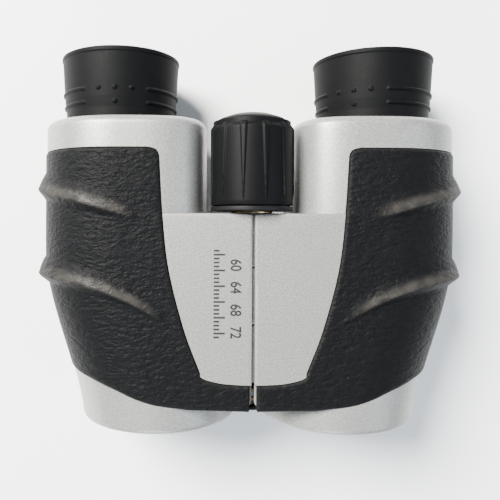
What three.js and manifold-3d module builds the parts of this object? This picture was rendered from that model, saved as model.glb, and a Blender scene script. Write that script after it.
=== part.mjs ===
// Compact reverse-Porro binoculars, 10 x 25 class, lying flat with the hinge fully opened.
// Millimetres. +Z is up (the flat deck side), +Y is the eyepiece end, -Y the objective end,
// and X = 0 is the plane of the hinge. Both halves are drawn on the +X side; the -X half is mirrored.
import * as THREE from 'three';
import { mergeVertices } from 'three/addons/utils/BufferGeometryUtils.js';
import Module from 'manifold-3d';

const wasm = await Module();
wasm.setup();

// ---------- driving dimensions ----------
const GAP = 0.3; // clearance kept between neighbouring pieces

// axes
const EYE_X = 36; // eyepiece axis: half of the 72 mm flat interpupillary distance
const EYE_Z = 17.5;
const OBJECTIVE_X = 24.2;
const OBJECTIVE_Z = 22;
const HINGE_Z = 35.5; // hinge axle, focus screw and knob share this axis
const FOLD_LIMIT = 15.5; // degrees left free below the hinge on each side

// body of one half
const REAR_Y = 29.5; // eyepiece end face
const FRONT_Y = -49.3; // objective end rim
const DECK_Z = 42.5;
const DECK_REAR_Y = 5.2;
const SPLIT_Y = -33.3; // where the front shell meets the housing, under the armour
const DECK_FRONT_Y = -37; // the deck reaches further forward than the rest of the housing
const SEAM_HALF = 0.36; // half of the gap between the two decks
const MID_Z = 21; // height of the body's widest line
const OUTER_REAR_X = 55.4;
const OUTER_TAPER = 10.6; // how far the outer side draws in towards the objectives
const INNER_REAR_X = 11.4;
const INNER_TAPER = 8.1; // how far the inner side moves towards the seam
const TOP_REAR = 21.5; // height of the crown over MID_Z
const TOP_FRONT = 20.9;
const BOTTOM_DEPTH = 21.9; // drop under MID_Z, cut flat at the table
const WALL = 2.8;
const REAR_ROUNDING = 2;
const FRONT_ROUNDING = 1.2;
const SHELF_BOTTOM_Z = 28; // underside of the deck block
// how square the section is: 2 is an oval, and more is squarer
const INNER_SQUARENESS = 3.4;
const OUTER_SQUARENESS = 2.15;
const FRONT_SQUARENESS = 2.05;

// armour
const ARMOUR_PROUD = 0.3;
const ARMOUR_DEPTH = 1.1; // how deep the skin sits in the housing
const ARMOUR_REAR_Y = 21.3;
const RIDGE_HEIGHT = 2;
const RIDGE_REACH = 4; // from a ridge's crest to its foot

// hinge and focus
const AXLE_R = 3.4;
const AXLE_BORE_R = 2.5;
const KNUCKLE_R = 5.4;
const KNOB_R = 10.8;
const KNOB_REAR_Y = 31;
const COLLAR_Y = -39.8; // middle of the focus collar at rest
const COLLAR_GROOVE_R = 4.3;
const COLLAR_R = 4.9;
const FOCUS_TRAVEL = 1.2; // each way
const CELL_R = 15.4;
const LENS_R = 12.9;

// prisms: two equal 45-90-45 prisms carry the axis from the objective to the eyepiece
const PRISM_STEP = Math.hypot(EYE_X - OBJECTIVE_X, EYE_Z - OBJECTIVE_Z) / Math.SQRT2;
const PRISM_WIDTH = 9.6;
const PLATE_FRONT_Y = 5.3;
const PLATE_REAR_Y = 6.9;
const PLATE_BOSS = [{ x: 18, z: 30 }, { x: 18, z: 12 }];
const BOSS_R = 2.6;
const BOSS_BORE_R = 1.2;

// how finely round pieces are faceted
const RING_STEPS = 24;
const BARREL_STEPS = 20;
const SMALL_STEPS = 10;

// ---------- materials ----------
function finish(color, roughness, metalness = 0) {
  return new THREE.MeshStandardMaterial({ color, roughness, metalness });
}

const SILVER = finish(0xc9cac6, 0.45, 0.35);
const RUBBER = finish(0x2d2f31, 0.75);
const BLACK = finish(0x1b1c1e, 0.6);
const GLASS = finish(0xb7c9c4, 0.05);
const STEEL = finish(0xb4b6b8, 0.3, 1);
const BRASS = finish(0xb08d4c, 0.35, 1);

// ---------- solids ----------
/** Welds a closed geometry, drops its empty triangles and turns it outside out where needed. */
function solid(geometry) {
  const bare = new THREE.BufferGeometry();
  bare.setAttribute('position', geometry.getAttribute('position'));
  if (geometry.index) bare.setIndex(geometry.index);
  const welded = mergeVertices(bare, 1e-4);
  const place = welded.getAttribute('position');
  const corners = [];
  let volume = 0;
  const [a, b, c] = [new THREE.Vector3(), new THREE.Vector3(), new THREE.Vector3()];
  for (let i = 0; i < welded.index.count; i += 3) {
    const [p, q, r] = [0, 1, 2].map((k) => welded.index.getX(i + k));
    if (p === q || q === r || r === p) continue;
    corners.push([p, q, r]);
    a.fromBufferAttribute(place, p);
    b.fromBufferAttribute(place, q);
    c.fromBufferAttribute(place, r);
    volume += a.dot(b.cross(c));
  }
  const outward = volume > 0 ? corners : corners.map(([p, q, r]) => [p, r, q]);
  return new wasm.Manifold(new wasm.Mesh({
    numProp: 3,
    vertProperties: new Float32Array(place.array),
    triVerts: new Uint32Array(outward.flat()),
  }));
}

/** The triangles of a solid as a three.js geometry. */
function geometryOf(body) {
  const mesh = body.getMesh();
  const geometry = new THREE.BufferGeometry();
  geometry.setAttribute('position', new THREE.BufferAttribute(mesh.vertProperties, 3));
  geometry.setIndex(new THREE.BufferAttribute(mesh.triVerts, 1));
  return geometry;
}

/** The same piece for the other half: mirrored in X, with its faces turned back out. */
function mirrored(geometry) {
  const copy = geometry.clone().scale(-1, 1, 1);
  const index = Array.from(copy.index.array);
  for (let i = 0; i < index.length; i += 3) [index[i + 1], index[i + 2]] = [index[i + 2], index[i + 1]];
  return copy.setIndex(index);
}

/** A turned piece about an axis along Y at (x, z), from a profile of [radius, y] points. */
function turned(profile, x, z, steps = BARREL_STEPS) {
  const points = profile.map(([r, y]) => new THREE.Vector2(r, y));
  return solid(new THREE.LatheGeometry(points, steps).translate(x, 0, z));
}

/** A plain ring or tube: the profile is closed on itself. */
function tube(innerR, outerR, frontY, rearY, x, z, steps) {
  const wall = [[innerR, frontY], [outerR, frontY], [outerR, rearY], [innerR, rearY]];
  return turned([...wall, wall[0]], x, z, steps);
}

/** A solid rod along Y. */
function rod(r, frontY, rearY, x, z, steps) {
  return turned([[0, frontY], [r, frontY], [r, rearY], [0, rearY]], x, z, steps);
}

/** A shape drawn in X and Z, given thickness along Y. */
function slab(shape, frontY, rearY) {
  const depth = rearY - frontY;
  const geometry = new THREE.ExtrudeGeometry(shape, { depth, bevelEnabled: false, curveSegments: 8 });
  return solid(geometry.rotateX(Math.PI / 2).translate(0, rearY, 0));
}

/** A shape drawn in X and Y, given thickness along Z. */
function plan(shape, lowZ, highZ) {
  const depth = highZ - lowZ;
  const geometry = new THREE.ExtrudeGeometry(shape, { depth, bevelEnabled: false, curveSegments: 4 });
  return solid(geometry.translate(0, 0, lowZ));
}

const polygon = (points) => new THREE.Shape(points.map(([x, y]) => new THREE.Vector2(x, y)));

/** Skins a row of rings, each a list of [x, z] at its own y, and closes both ends on their centres. */
function loft(stations) {
  const position = [];
  const index = [];
  const count = stations[0].ring.length;
  for (const { y, ring } of stations) for (const [x, z] of ring) position.push(x, y, z);
  for (let s = 0; s + 1 < stations.length; s++) {
    for (let i = 0; i < count; i++) {
      const [a, b] = [s * count + i, s * count + ((i + 1) % count)];
      index.push(a, b, b + count, a, b + count, a + count);
    }
  }
  for (const s of [0, stations.length - 1]) {
    const { y, ring } = stations[s];
    const centre = position.length / 3;
    const mean = (k) => ring.reduce((sum, point) => sum + point[k], 0) / count;
    position.push(mean(0), y, mean(1));
    for (let i = 0; i < count; i++) {
      const [a, b] = [s * count + i, s * count + ((i + 1) % count)];
      index.push(...(s === 0 ? [centre, b, a] : [centre, a, b]));
    }
  }
  const geometry = new THREE.BufferGeometry();
  geometry.setAttribute('position', new THREE.BufferAttribute(new Float32Array(position), 3));
  return solid(geometry.setIndex(index));
}

// ---------- shape of one half ----------
const ease = (t) => THREE.MathUtils.smoothstep(t, 0, 1);
const outerX = (y) => OUTER_REAR_X - OUTER_TAPER * ease((-4 - y) / 50);
const innerX = (y) => INNER_REAR_X - INNER_TAPER * ease((DECK_REAR_Y - y) / 48);
const towardsFront = (y) => ease((DECK_REAR_Y - y) / (DECK_REAR_Y - FRONT_Y));
const crownHeight = (y) => THREE.MathUtils.lerp(TOP_REAR, TOP_FRONT, towardsFront(y));
/** The inner side may not come closer to X = 0 than this below the hinge, so that the halves can fold. */
const FOLD_SLOPE = Math.tan(THREE.MathUtils.degToRad(FOLD_LIMIT));
const foldX = (z) => SEAM_HALF + Math.max(0, HINGE_Z - z) * FOLD_SLOPE;

/** One cross-section of the body: round outside, squarer beside the knob, flat under. */
function bodyRing(y, inset, ridge = () => 0) {
  const front = towardsFront(y);
  const middle = (outerX(y) + innerX(y)) / 2;
  const half = (outerX(y) - innerX(y)) / 2;
  const ring = [];
  for (let i = 0; i < RING_STEPS; i++) {
    const angle = (2 * Math.PI * i) / RING_STEPS;
    const [c, s] = [Math.cos(angle), Math.sin(angle)];
    const rearSquareness = c < 0 ? INNER_SQUARENESS : OUTER_SQUARENESS;
    const squareness = THREE.MathUtils.lerp(rearSquareness, FRONT_SQUARENESS, front);
    const lift = ridge(y, angle) - inset;
    const reach = (size, part) => (size + lift) * Math.sign(part) * Math.abs(part) ** (2 / squareness);
    const z = Math.max(MID_Z + reach(s < 0 ? BOTTOM_DEPTH : crownHeight(y), s), Math.max(inset, 0));
    ring.push([Math.max(middle + reach(half, c), foldX(z) + Math.max(inset, 0)), z]);
  }
  return ring;
}

const bodyLoft = (ys, inset, ridge) => loft(ys.map((y) => ({ y, ring: bodyRing(y, inset, ridge) })));

/** The stations of a rounded end: [y, extra inset] along a quarter circle. */
const roundedEnd = (endY, radius) => [0, 45, 90].map((degrees) => {
  const angle = THREE.MathUtils.degToRad(degrees);
  return [endY + Math.sign(-endY) * radius * (1 - Math.sin(angle)), radius * (1 - Math.cos(angle))];
});
const between = (from, to, count) => Array.from({ length: count + 1 }, (_, i) => from + ((to - from) * i) / count);

/** The body's outer form between two rounded ends. */
function bodyForm() {
  const rear = roundedEnd(REAR_Y, REAR_ROUNDING);
  const front = roundedEnd(FRONT_Y, FRONT_ROUNDING).reverse();
  const middle = between(front[2][0], rear[0][0], 9).slice(1, -1).map((y) => [y, 0]);
  return loft([...front, ...middle, ...rear].map(([y, inset]) => ({ y, ring: bodyRing(y, inset) })));
}

/** The block under the flat deck, which carries the hinge. */
function deckBlock(frontY, rearY, sink = 0) {
  return slab(polygon([
    [SEAM_HALF - sink, DECK_Z - sink], [24, DECK_Z - sink], [24, 38], [14, SHELF_BOTTOM_Z - sink],
    [foldX(SHELF_BOTTOM_Z) - sink, SHELF_BOTTOM_Z - sink], [SEAM_HALF - sink, HINGE_Z],
  ]), frontY, rearY);
}

const ARMOUR_FRONT_Y = -43.5;

/** Plan of the armour: it leaves the deck free and runs forward to the seam in a strip. */
function armourRegion(grow) {
  const deckSide = new THREE.SplineCurve([
    [12.9, -34.4], [17.1, -23.4], [20.9, -8.7], [22.5, 5], [23.3, ARMOUR_REAR_Y - 3],
  ].map(([x, y]) => new THREE.Vector2(x - grow, y))).getPoints(7);
  const frontSide = new THREE.SplineCurve([
    [52, -35.1], [46, -35.5], [39.9, -37], [28.4, -40.7], [13, ARMOUR_FRONT_Y],
  ].map(([x, y]) => new THREE.Vector2(x, y - grow))).getPoints(7);
  const shape = new THREE.Shape(deckSide);
  shape.quadraticCurveTo(23.4 - grow, ARMOUR_REAR_Y + grow, 26.4 - grow, ARMOUR_REAR_Y + grow);
  shape.lineTo(62, ARMOUR_REAR_Y + grow);
  shape.lineTo(62, -35 - grow);
  frontSide.forEach((p) => shape.lineTo(p.x, p.y));
  shape.lineTo(12.9 - grow, ARMOUR_FRONT_Y - grow);
  const strip = polygon([
    [0.6 - grow, ARMOUR_FRONT_Y - grow], [14, ARMOUR_FRONT_Y - grow], [14, -34.5], [12.6, -35.3 + grow],
    [8, -36.7 + grow], [0.6 - grow, DECK_FRONT_Y + grow],
  ]);
  return plan(shape, -5, 50).add(plan(strip, 38, 50));
}

/** Two raised ridges sweep from the outer side forwards and up to the deck. */
function ridgeLift(y, angle) {
  const wrap = Math.abs(Math.atan2(Math.sin(angle), Math.cos(angle))) / THREE.MathUtils.degToRad(80);
  const fade = 1 - ease(wrap);
  const crests = [12.2 - 8 * wrap, -10.5 - 11 * wrap];
  const slopes = crests.map((crest) => Math.max(0, 1 - Math.abs(y - crest) / RIDGE_REACH));
  return ARMOUR_PROUD + RIDGE_HEIGHT * fade * Math.max(...slopes);
}

const armourRows = between(ARMOUR_FRONT_Y - 1, ARMOUR_REAR_Y + 1, 18);
const insetRows = between(FRONT_Y - 1, ARMOUR_REAR_Y + 2, 7);
const armourSeat = (depth) => bodyLoft(insetRows, depth).add(deckBlock(FRONT_Y + 4, DECK_REAR_Y + 5, depth));

function armour() {
  const outside = bodyLoft(armourRows, 0, ridgeLift).add(deckBlock(ARMOUR_FRONT_Y - 1, DECK_REAR_Y));
  return outside.intersect(armourRegion(0)).subtract(armourSeat(ARMOUR_DEPTH));
}

/** What is cut from the shells to let the armour in. */
const armourPocket = () => armourRegion(GAP).subtract(armourSeat(ARMOUR_DEPTH + GAP));

const wholeForm = () => bodyForm().add(deckBlock(ARMOUR_FRONT_Y + 0.2, DECK_REAR_Y));
function cavity(frontY, rearY, inset) {
  return bodyLoft(between(frontY, rearY, Math.ceil((rearY - frontY) / 9)), inset);
}

/** Everything behind the joint between housing and front shell; the joint steps forward round the deck. */
function behindSplit(shift) {
  const all = polygon([[-20, -5], [70, -5], [70, 60], [-20, 60]]);
  const deckStep = polygon([[-20, 26 - shift], [13.6 + shift, 26 - shift], [13.6 + shift, 60], [-20, 60]]);
  return slab(all, SPLIT_Y - shift, REAR_Y + 1).add(slab(deckStep, DECK_FRONT_Y - shift, SPLIT_Y + 1));
}

// hinge knuckles along Y: the middle one belongs to the +X half, the outer two to the other
const KNUCKLES = { middle: [[-22.3, -8.3]], outer: [[-36.7, -22.6], [-8, 5]] };
const HINGE_STEPS = 16;

function housing(own, other) {
  let body = wholeForm().intersect(behindSplit(0));
  body = body.subtract(cavity(DECK_FRONT_Y - 1, REAR_Y - 2.2, WALL));
  for (const { x, z } of PLATE_BOSS) {
    body = body.add(rod(BOSS_R, PLATE_REAR_Y + GAP, REAR_Y - 2, x, z, SMALL_STEPS));
    body = body.subtract(rod(BOSS_BORE_R, PLATE_REAR_Y - 1, 15, x, z, SMALL_STEPS));
  }
  for (const [from, to] of own) body = body.add(rod(KNUCKLE_R, from, to, 0, HINGE_Z, HINGE_STEPS));
  for (const [from, to] of other) {
    body = body.subtract(rod(KNUCKLE_R + GAP, from - GAP, to + GAP, 0, HINGE_Z, HINGE_STEPS));
  }
  body = body.subtract(rod(AXLE_R + GAP, DECK_FRONT_Y - 1, DECK_REAR_Y + 1, 0, HINGE_Z, HINGE_STEPS));
  body = body.subtract(rod(13 + GAP, REAR_Y - 4, REAR_Y + 1, EYE_X, EYE_Z));
  body = body.subtract(armourPocket());
  for (const hole of shellScrewHoles()) body = body.subtract(hole);
  return body;
}

// ---------- front shell, its screws and what it holds ----------
const SHELL_SCREW_Y = SPLIT_Y + 2.4;
const shellScrewX = (outerX(SHELL_SCREW_Y) + innerX(SHELL_SCREW_Y)) / 2;
const SCREW_SINK = ARMOUR_DEPTH + 0.7;
const SCREW_SEATS = [
  { z: MID_Z + crownHeight(SHELL_SCREW_Y) - SCREW_SINK, up: 1 },
  { z: SCREW_SINK, up: -1 },
];

/** A small screw along Z with its head outwards. */
function shellScrew({ z, up }, grow = 0) {
  const [shankR, headR, tip, headUnder] = [0.8 + grow, 1.7 + grow, -4 - grow, -0.9];
  const profile = [[0, tip], [shankR, tip], [shankR, headUnder], [headR, headUnder], [headR, grow], [0, grow]];
  const geometry = new THREE.LatheGeometry(profile.map(([r, h]) => new THREE.Vector2(r, h)), SMALL_STEPS);
  geometry.rotateX((up * Math.PI) / 2).translate(shellScrewX, SHELL_SCREW_Y, z);
  return solid(geometry);
}

function shellScrewHoles() {
  return SCREW_SEATS.map((seat) => shellScrew(seat, GAP));
}

/** The lever that joins the objective cell to the focus collar: a fork end and an arm. */
const ARM_ANGLE = Math.atan2(OBJECTIVE_Z - HINGE_Z, OBJECTIVE_X);
const AXIS_DISTANCE = Math.hypot(OBJECTIVE_X, OBJECTIVE_Z - HINGE_Z);
function focusArm(grow, frontY, rearY) {
  const fork = new THREE.Shape();
  const [low, high] = [-70, 50].map(THREE.MathUtils.degToRad);
  fork.absarc(0, 0, COLLAR_R + 0.9 + grow, low, high, false);
  fork.absarc(0, 0, COLLAR_GROOVE_R + 0.2 - grow, high, low, true);
  const [reach, half] = [AXIS_DISTANCE - CELL_R + 1.1 + grow, 2.5 + grow];
  const arm = polygon([[COLLAR_R, -half], [reach, -half], [reach, half], [COLLAR_R, half]]);
  const extrude = (shape, turn) => {
    const depth = rearY - frontY;
    const geometry = new THREE.ExtrudeGeometry(shape, { depth, bevelEnabled: false, curveSegments: 10 });
    return solid(geometry.rotateZ(turn).rotateX(Math.PI / 2).translate(0, rearY, HINGE_Z));
  };
  return extrude(fork, 0).add(extrude(arm, ARM_ANGLE));
}
const ARM_THICK = 1.2;
function armAt(grow) {
  return focusArm(grow, COLLAR_Y - ARM_THICK / 2 - grow, COLLAR_Y + ARM_THICK / 2 + grow);
}

function frontShell() {
  const guide = rod(CELL_R + GAP + 1.2, FRONT_Y, DECK_FRONT_Y, OBJECTIVE_X, OBJECTIVE_Z);
  const pocket = cavity(FRONT_Y + 2.8, SPLIT_Y + 1, WALL).subtract(guide);
  const spigot = cavity(DECK_FRONT_Y - 2, SPLIT_Y + 5, WALL + GAP)
    .subtract(cavity(DECK_FRONT_Y - 3, SPLIT_Y + 6, WALL + GAP + 1.3));
  const slot = focusArm(0.4, COLLAR_Y - FOCUS_TRAVEL - 1.1, DECK_FRONT_Y);
  const shell = wholeForm()
    .subtract(behindSplit(GAP))
    .subtract(pocket)
    .add(spigot)
    .subtract(rod(CELL_R + GAP, FRONT_Y - 1, SPLIT_Y + 6, OBJECTIVE_X, OBJECTIVE_Z))
    .subtract(rod(17.6, FRONT_Y - 1, FRONT_Y + 1.6, OBJECTIVE_X, OBJECTIVE_Z))
    .subtract(rod(COLLAR_R + GAP, FRONT_Y, DECK_FRONT_Y + 1, 0, HINGE_Z, HINGE_STEPS))
    .subtract(slot)
    .subtract(armourPocket());
  return shellScrewHoles().reduce((body, hole) => body.subtract(hole), shell);
}

/** A lens between two spherical faces, from its edge radius, edge faces and bulges. */
function lens(r, frontY, rearY, frontBulge, rearBulge, x, z) {
  const arc = (edgeY, bulge, fractions) => fractions.map((t) => [r * t, edgeY + bulge * (1 - t * t)]);
  return turned([...arc(frontY, -frontBulge, [0, 0.5, 1]), ...arc(rearY, rearBulge, [1, 0.5, 0])], x, z, 24);
}

const CELL_FRONT_Y = -46.3;
const LENS_SEAT_Y = -40;
const objectiveCell = () => turned([
  [CELL_R, CELL_FRONT_Y], [CELL_R, -36.5], [12.3, -36.5], [12.3, LENS_SEAT_Y], [LENS_R + GAP, LENS_SEAT_Y],
  [LENS_R + GAP, CELL_FRONT_Y], [CELL_R, CELL_FRONT_Y],
], OBJECTIVE_X, OBJECTIVE_Z).subtract(armAt(GAP));

// ---------- prisms ----------
const PRISM_ANGLE = Math.atan2(EYE_Z - OBJECTIVE_Z, EYE_X - OBJECTIVE_X) + Math.PI / 4;
const turnAxis = {
  x: OBJECTIVE_X + PRISM_STEP * Math.cos(PRISM_ANGLE),
  z: OBJECTIVE_Z + PRISM_STEP * Math.sin(PRISM_ANGLE),
};
const halfway = (x, z) => ({ x: (x + turnAxis.x) / 2, z: (z + turnAxis.z) / 2 });
const PRISMS = {
  rear: { ...halfway(OBJECTIVE_X, OBJECTIVE_Z), angle: PRISM_ANGLE, y: PLATE_REAR_Y, way: 1 },
  front: { ...halfway(EYE_X, EYE_Z), angle: PRISM_ANGLE - Math.PI / 2, y: PLATE_FRONT_Y, way: -1 },
};

/** Extrudes a side view of [along, away from the plate] points across a prism's width. */
function acrossPrism(points, width, { x, z, angle, y, way }) {
  const geometry = new THREE.ExtrudeGeometry(polygon(points), { depth: width, bevelEnabled: false });
  return solid(geometry.translate(0, 0, -width / 2).scale(1, way, 1).rotateY(-angle).translate(x, y, z));
}

function prism(seat) {
  const [h, tip] = [PRISM_STEP, 0.7];
  return acrossPrism([
    [-h, GAP], [h, GAP], [h, tip + GAP], [tip, h + GAP], [-tip, h + GAP], [-h, tip + GAP],
  ], PRISM_WIDTH, seat);
}

/** A sheet-metal spring bridge that presses on the prism's ridge. */
function prismClip(seat) {
  const [leg, shoulder, peak, sheet] = [PRISM_STEP + 1, 7.4, PRISM_STEP + 0.65, 0.4];
  return acrossPrism([
    [-leg, GAP], [-leg, shoulder], [-1.2, peak], [1.2, peak], [leg, shoulder], [leg, GAP],
    [leg + sheet, GAP], [leg + sheet, shoulder + sheet], [1.3, peak + sheet], [-1.3, peak + sheet],
    [-leg - sheet, shoulder + sheet], [-leg - sheet, GAP],
  ], 3.6, seat);
}

function prismPlate() {
  const [inner, outer, low, high] = [15.4, 46, 8, 34];
  let plate = slab(polygon([
    [inner, low + 2], [inner + 2, low], [outer - 3, low], [outer, low + 3],
    [outer, high - 4], [outer - 4, high], [inner + 2, high], [inner, high - 2],
  ]), PLATE_FRONT_Y, PLATE_REAR_Y);
  const windows = [{ x: OBJECTIVE_X, z: OBJECTIVE_Z }, turnAxis, { x: EYE_X, z: EYE_Z }];
  for (const { x, z } of windows) plate = plate.subtract(rod(4, 4, 8, x, z, 16));
  for (const { x, z } of PLATE_BOSS) plate = plate.subtract(rod(BOSS_BORE_R, 4, 8, x, z, SMALL_STEPS));
  return plate;
}

const plateScrew = ({ x, z }) => turned([
  [0, PLATE_FRONT_Y - 1.5], [1.9, PLATE_FRONT_Y - 1.5], [1.9, PLATE_FRONT_Y - GAP],
  [0.9, PLATE_FRONT_Y - GAP], [0.9, 13], [0, 13],
], x, z, SMALL_STEPS);

// ---------- eyepieces ----------
const TUBE_R = 13;
const TUBE_REAR_Y = 41;
const TUBE_FRONT_Y = 17.5;
const FLANGE = [[TUBE_R, 25.2], [14.5, 25.2], [14.5, 27], [TUBE_R, 27]]; // sits behind the housing's end wall
const LENS_BORE = [[10.6, 35.4], [9, 35.4], [9, 23.2], [9.8, 23.2]];
const BARREL_R = 11.7; // slides and turns inside the dioptre sleeve
const BARREL_REAR_Y = 40;
const BARREL_FRONT_Y = 18.4; // turned fully in, it still clears the prism's clip
const SLEEVE_BORE_R = BARREL_R + GAP;

const fixedEyepieceTube = () => turned([
  [TUBE_R, TUBE_FRONT_Y], ...FLANGE, [TUBE_R, TUBE_REAR_Y], [10.6, TUBE_REAR_Y], ...LENS_BORE,
  [9.8, TUBE_FRONT_Y], [TUBE_R, TUBE_FRONT_Y],
], EYE_X, EYE_Z);

const dioptreSleeve = () => turned([
  [TUBE_R, TUBE_FRONT_Y], ...FLANGE, [TUBE_R, TUBE_REAR_Y], [SLEEVE_BORE_R, TUBE_REAR_Y],
  [SLEEVE_BORE_R, TUBE_FRONT_Y], [TUBE_R, TUBE_FRONT_Y],
], EYE_X, EYE_Z);

const dioptreBarrel = () => turned([
  [BARREL_R, BARREL_FRONT_Y], [BARREL_R, BARREL_REAR_Y], [10.6, BARREL_REAR_Y], ...LENS_BORE,
  [9.8, BARREL_FRONT_Y], [BARREL_R, BARREL_FRONT_Y],
], EYE_X, EYE_Z);

/** Rubber eyecup: a sleeve over the tube and a thin open cup above it. */
const eyecup = () => turned([
  [15.6, REAR_Y + GAP], [15.8, 34], [16.4, 40], [16.6, 47.9], [16.2, 48.8], [15.5, 49.1], [14.9, 48.7],
  [14.7, 43.4], [13, 42.2], [11, 42], [11, TUBE_REAR_Y + GAP], [TUBE_R + GAP, TUBE_REAR_Y + GAP],
  [TUBE_R + GAP, REAR_Y + GAP], [15.6, REAR_Y + GAP],
], EYE_X, EYE_Z, RING_STEPS);

// ---------- hinge and focus train ----------
const AXLE_FRONT_Y = -42.6;
const AXLE_REAR_Y = 23.7;

function hingeAxle() {
  const [half, front, rear] = [0.9, COLLAR_Y - 2.1, COLLAR_Y + 2.1];
  const window = polygon([[-half, front], [half, front], [half, rear], [-half, rear]]);
  return tube(AXLE_BORE_R, AXLE_R, AXLE_FRONT_Y, AXLE_REAR_Y, 0, HINGE_Z, HINGE_STEPS)
    .subtract(plan(window, HINGE_Z - 5, HINGE_Z + 5));
}

const hingeFrontCap = () => rod(COLLAR_R, AXLE_FRONT_Y - 1.1, AXLE_FRONT_Y - GAP, 0, HINGE_Z, HINGE_STEPS);
function thrustWasher() {
  return tube(AXLE_R + GAP, 6.4, DECK_REAR_Y + 0.1, DECK_REAR_Y + 0.5, 0, HINGE_Z, HINGE_STEPS);
}

const NUT_R = 2.2;
const SCREW_R = 1.2;
const pinHoles = () => rodAlongZ(0.9, -5, 5);

/** A rod along Z across the focus axis at the collar. */
function rodAlongZ(r, low, high) {
  const geometry = new THREE.CylinderGeometry(r, r, high - low, SMALL_STEPS).rotateX(Math.PI / 2);
  return solid(geometry.translate(0, COLLAR_Y, HINGE_Z + (low + high) / 2));
}

function focusNut() {
  const nut = tube(SCREW_R + GAP, NUT_R, COLLAR_Y - 1.6, COLLAR_Y + 1.6, 0, HINGE_Z, HINGE_STEPS);
  return nut.subtract(pinHoles());
}

function focusCollar() {
  const [bore, grooveHalf, half] = [AXLE_R + GAP, ARM_THICK / 2 + GAP, 1.4];
  return turned([
    [bore, COLLAR_Y - half], [COLLAR_R, COLLAR_Y - half], [COLLAR_R, COLLAR_Y - grooveHalf],
    [COLLAR_GROOVE_R, COLLAR_Y - grooveHalf], [COLLAR_GROOVE_R, COLLAR_Y + grooveHalf],
    [COLLAR_R, COLLAR_Y + grooveHalf], [COLLAR_R, COLLAR_Y + half],
    [bore, COLLAR_Y + half], [bore, COLLAR_Y - half],
  ], 0, HINGE_Z, HINGE_STEPS).subtract(pinHoles());
}

const focusScrew = () => turned([
  [0, AXLE_FRONT_Y + GAP], [SCREW_R, AXLE_FRONT_Y + GAP],
  [SCREW_R, AXLE_REAR_Y + 0.7], [2.8, AXLE_REAR_Y + 0.7],
  [2.8, 26.5], [0, 26.5],
], 0, HINGE_Z, 18);

const KNOB_FRONT_Y = 6;
const knobCore = () => turned([
  [0, 28.1], [9.6, 28.1], [9.6, 6.9], [10.5, 6.9], [10.5, KNOB_FRONT_Y], [AXLE_R + GAP, KNOB_FRONT_Y],
  [AXLE_R + GAP, 24], [5.4, 24], [5.4, 7.6], [8.1, 7.6], [8.1, 26.8], [0, 26.8],
], 0, HINGE_Z, 24);

const knobGrip = () => turned([
  [0, KNOB_REAR_Y], [4.2, 30.75], [7.2, 30], [9.2, 28.9], [10.4, 27.8], [KNOB_R, 26.5], [KNOB_R, 7.2],
  [9.9, 7.2], [9.9, 28.4], [0, 28.4],
], 0, HINGE_Z, 24);

// ---------- assembly ----------
const binoculars = new THREE.Group();

function add(name, body, material) {
  const mesh = new THREE.Mesh(body instanceof THREE.BufferGeometry ? body : geometryOf(body), material);
  mesh.name = name;
  binoculars.add(mesh);
}

/** Adds a piece to both halves. */
function addPair(name, body, material) {
  const geometry = geometryOf(body);
  add(`right_${name}`, geometry, material);
  add(`left_${name}`, mirrored(geometry), material);
}

add('right_housing', housing(KNUCKLES.middle, KNUCKLES.outer), SILVER);
add('left_housing', mirrored(geometryOf(housing(KNUCKLES.outer, KNUCKLES.middle))), SILVER);
addPair('front_shell', frontShell(), SILVER);
addPair('armour', armour(), RUBBER);
addPair('shell_screw_upper', shellScrew(SCREW_SEATS[0]), STEEL);
addPair('shell_screw_lower', shellScrew(SCREW_SEATS[1]), STEEL);

addPair('objective_bezel', tube(13.6, 17.3, FRONT_Y + 0.3, FRONT_Y + 1.3, OBJECTIVE_X, OBJECTIVE_Z), BLACK);
addPair('objective_cell', objectiveCell(), BLACK);
addPair('objective_lens', lens(LENS_R, -44.6, -40.6, 1.4, 0.6, OBJECTIVE_X, OBJECTIVE_Z), GLASS);
addPair('objective_ring', tube(12.2, LENS_R, -45.9, -44.9, OBJECTIVE_X, OBJECTIVE_Z), BLACK);
addPair('focus_arm', armAt(0), STEEL);

addPair('prism_plate', prismPlate(), BLACK);
addPair('plate_screw_upper', plateScrew(PLATE_BOSS[0]), STEEL);
addPair('plate_screw_lower', plateScrew(PLATE_BOSS[1]), STEEL);
addPair('rear_prism', prism(PRISMS.rear), GLASS);
addPair('front_prism', prism(PRISMS.front), GLASS);
addPair('rear_prism_clip', prismClip(PRISMS.rear), STEEL);
addPair('front_prism_clip', prismClip(PRISMS.front), STEEL);

add('left_eyepiece_tube', mirrored(geometryOf(fixedEyepieceTube())), BLACK);
add('right_dioptre_sleeve', dioptreSleeve(), BLACK);
add('right_eyepiece_barrel', dioptreBarrel(), BLACK);
addPair('eye_lens', lens(10.3, 36.4, 38.2, 0.7, 0.9, EYE_X, EYE_Z), GLASS);
addPair('eye_lens_ring', tube(9.4, 10.3, 38.5, 39.6, EYE_X, EYE_Z), BLACK);
addPair('field_lens', lens(9.5, 19.6, 22.2, 0.9, 0.3, EYE_X, EYE_Z), GLASS);
addPair('eyecup', eyecup(), RUBBER);

add('hinge_axle', hingeAxle(), STEEL);
add('hinge_front_cap', hingeFrontCap(), BLACK);
add('thrust_washer', thrustWasher(), BRASS);
add('focus_knob_core', knobCore(), BLACK);
add('focus_knob_grip', knobGrip(), RUBBER);
add('focus_screw', focusScrew(), STEEL);
add('focus_nut', focusNut(), BRASS);
add('focus_collar', focusCollar(), BRASS);
add('focus_pin_upper', rodAlongZ(0.6, 1.75, 4.1), STEEL);
add('focus_pin_lower', rodAlongZ(0.6, -4.1, -1.75), STEEL);

export default binoculars;
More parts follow.
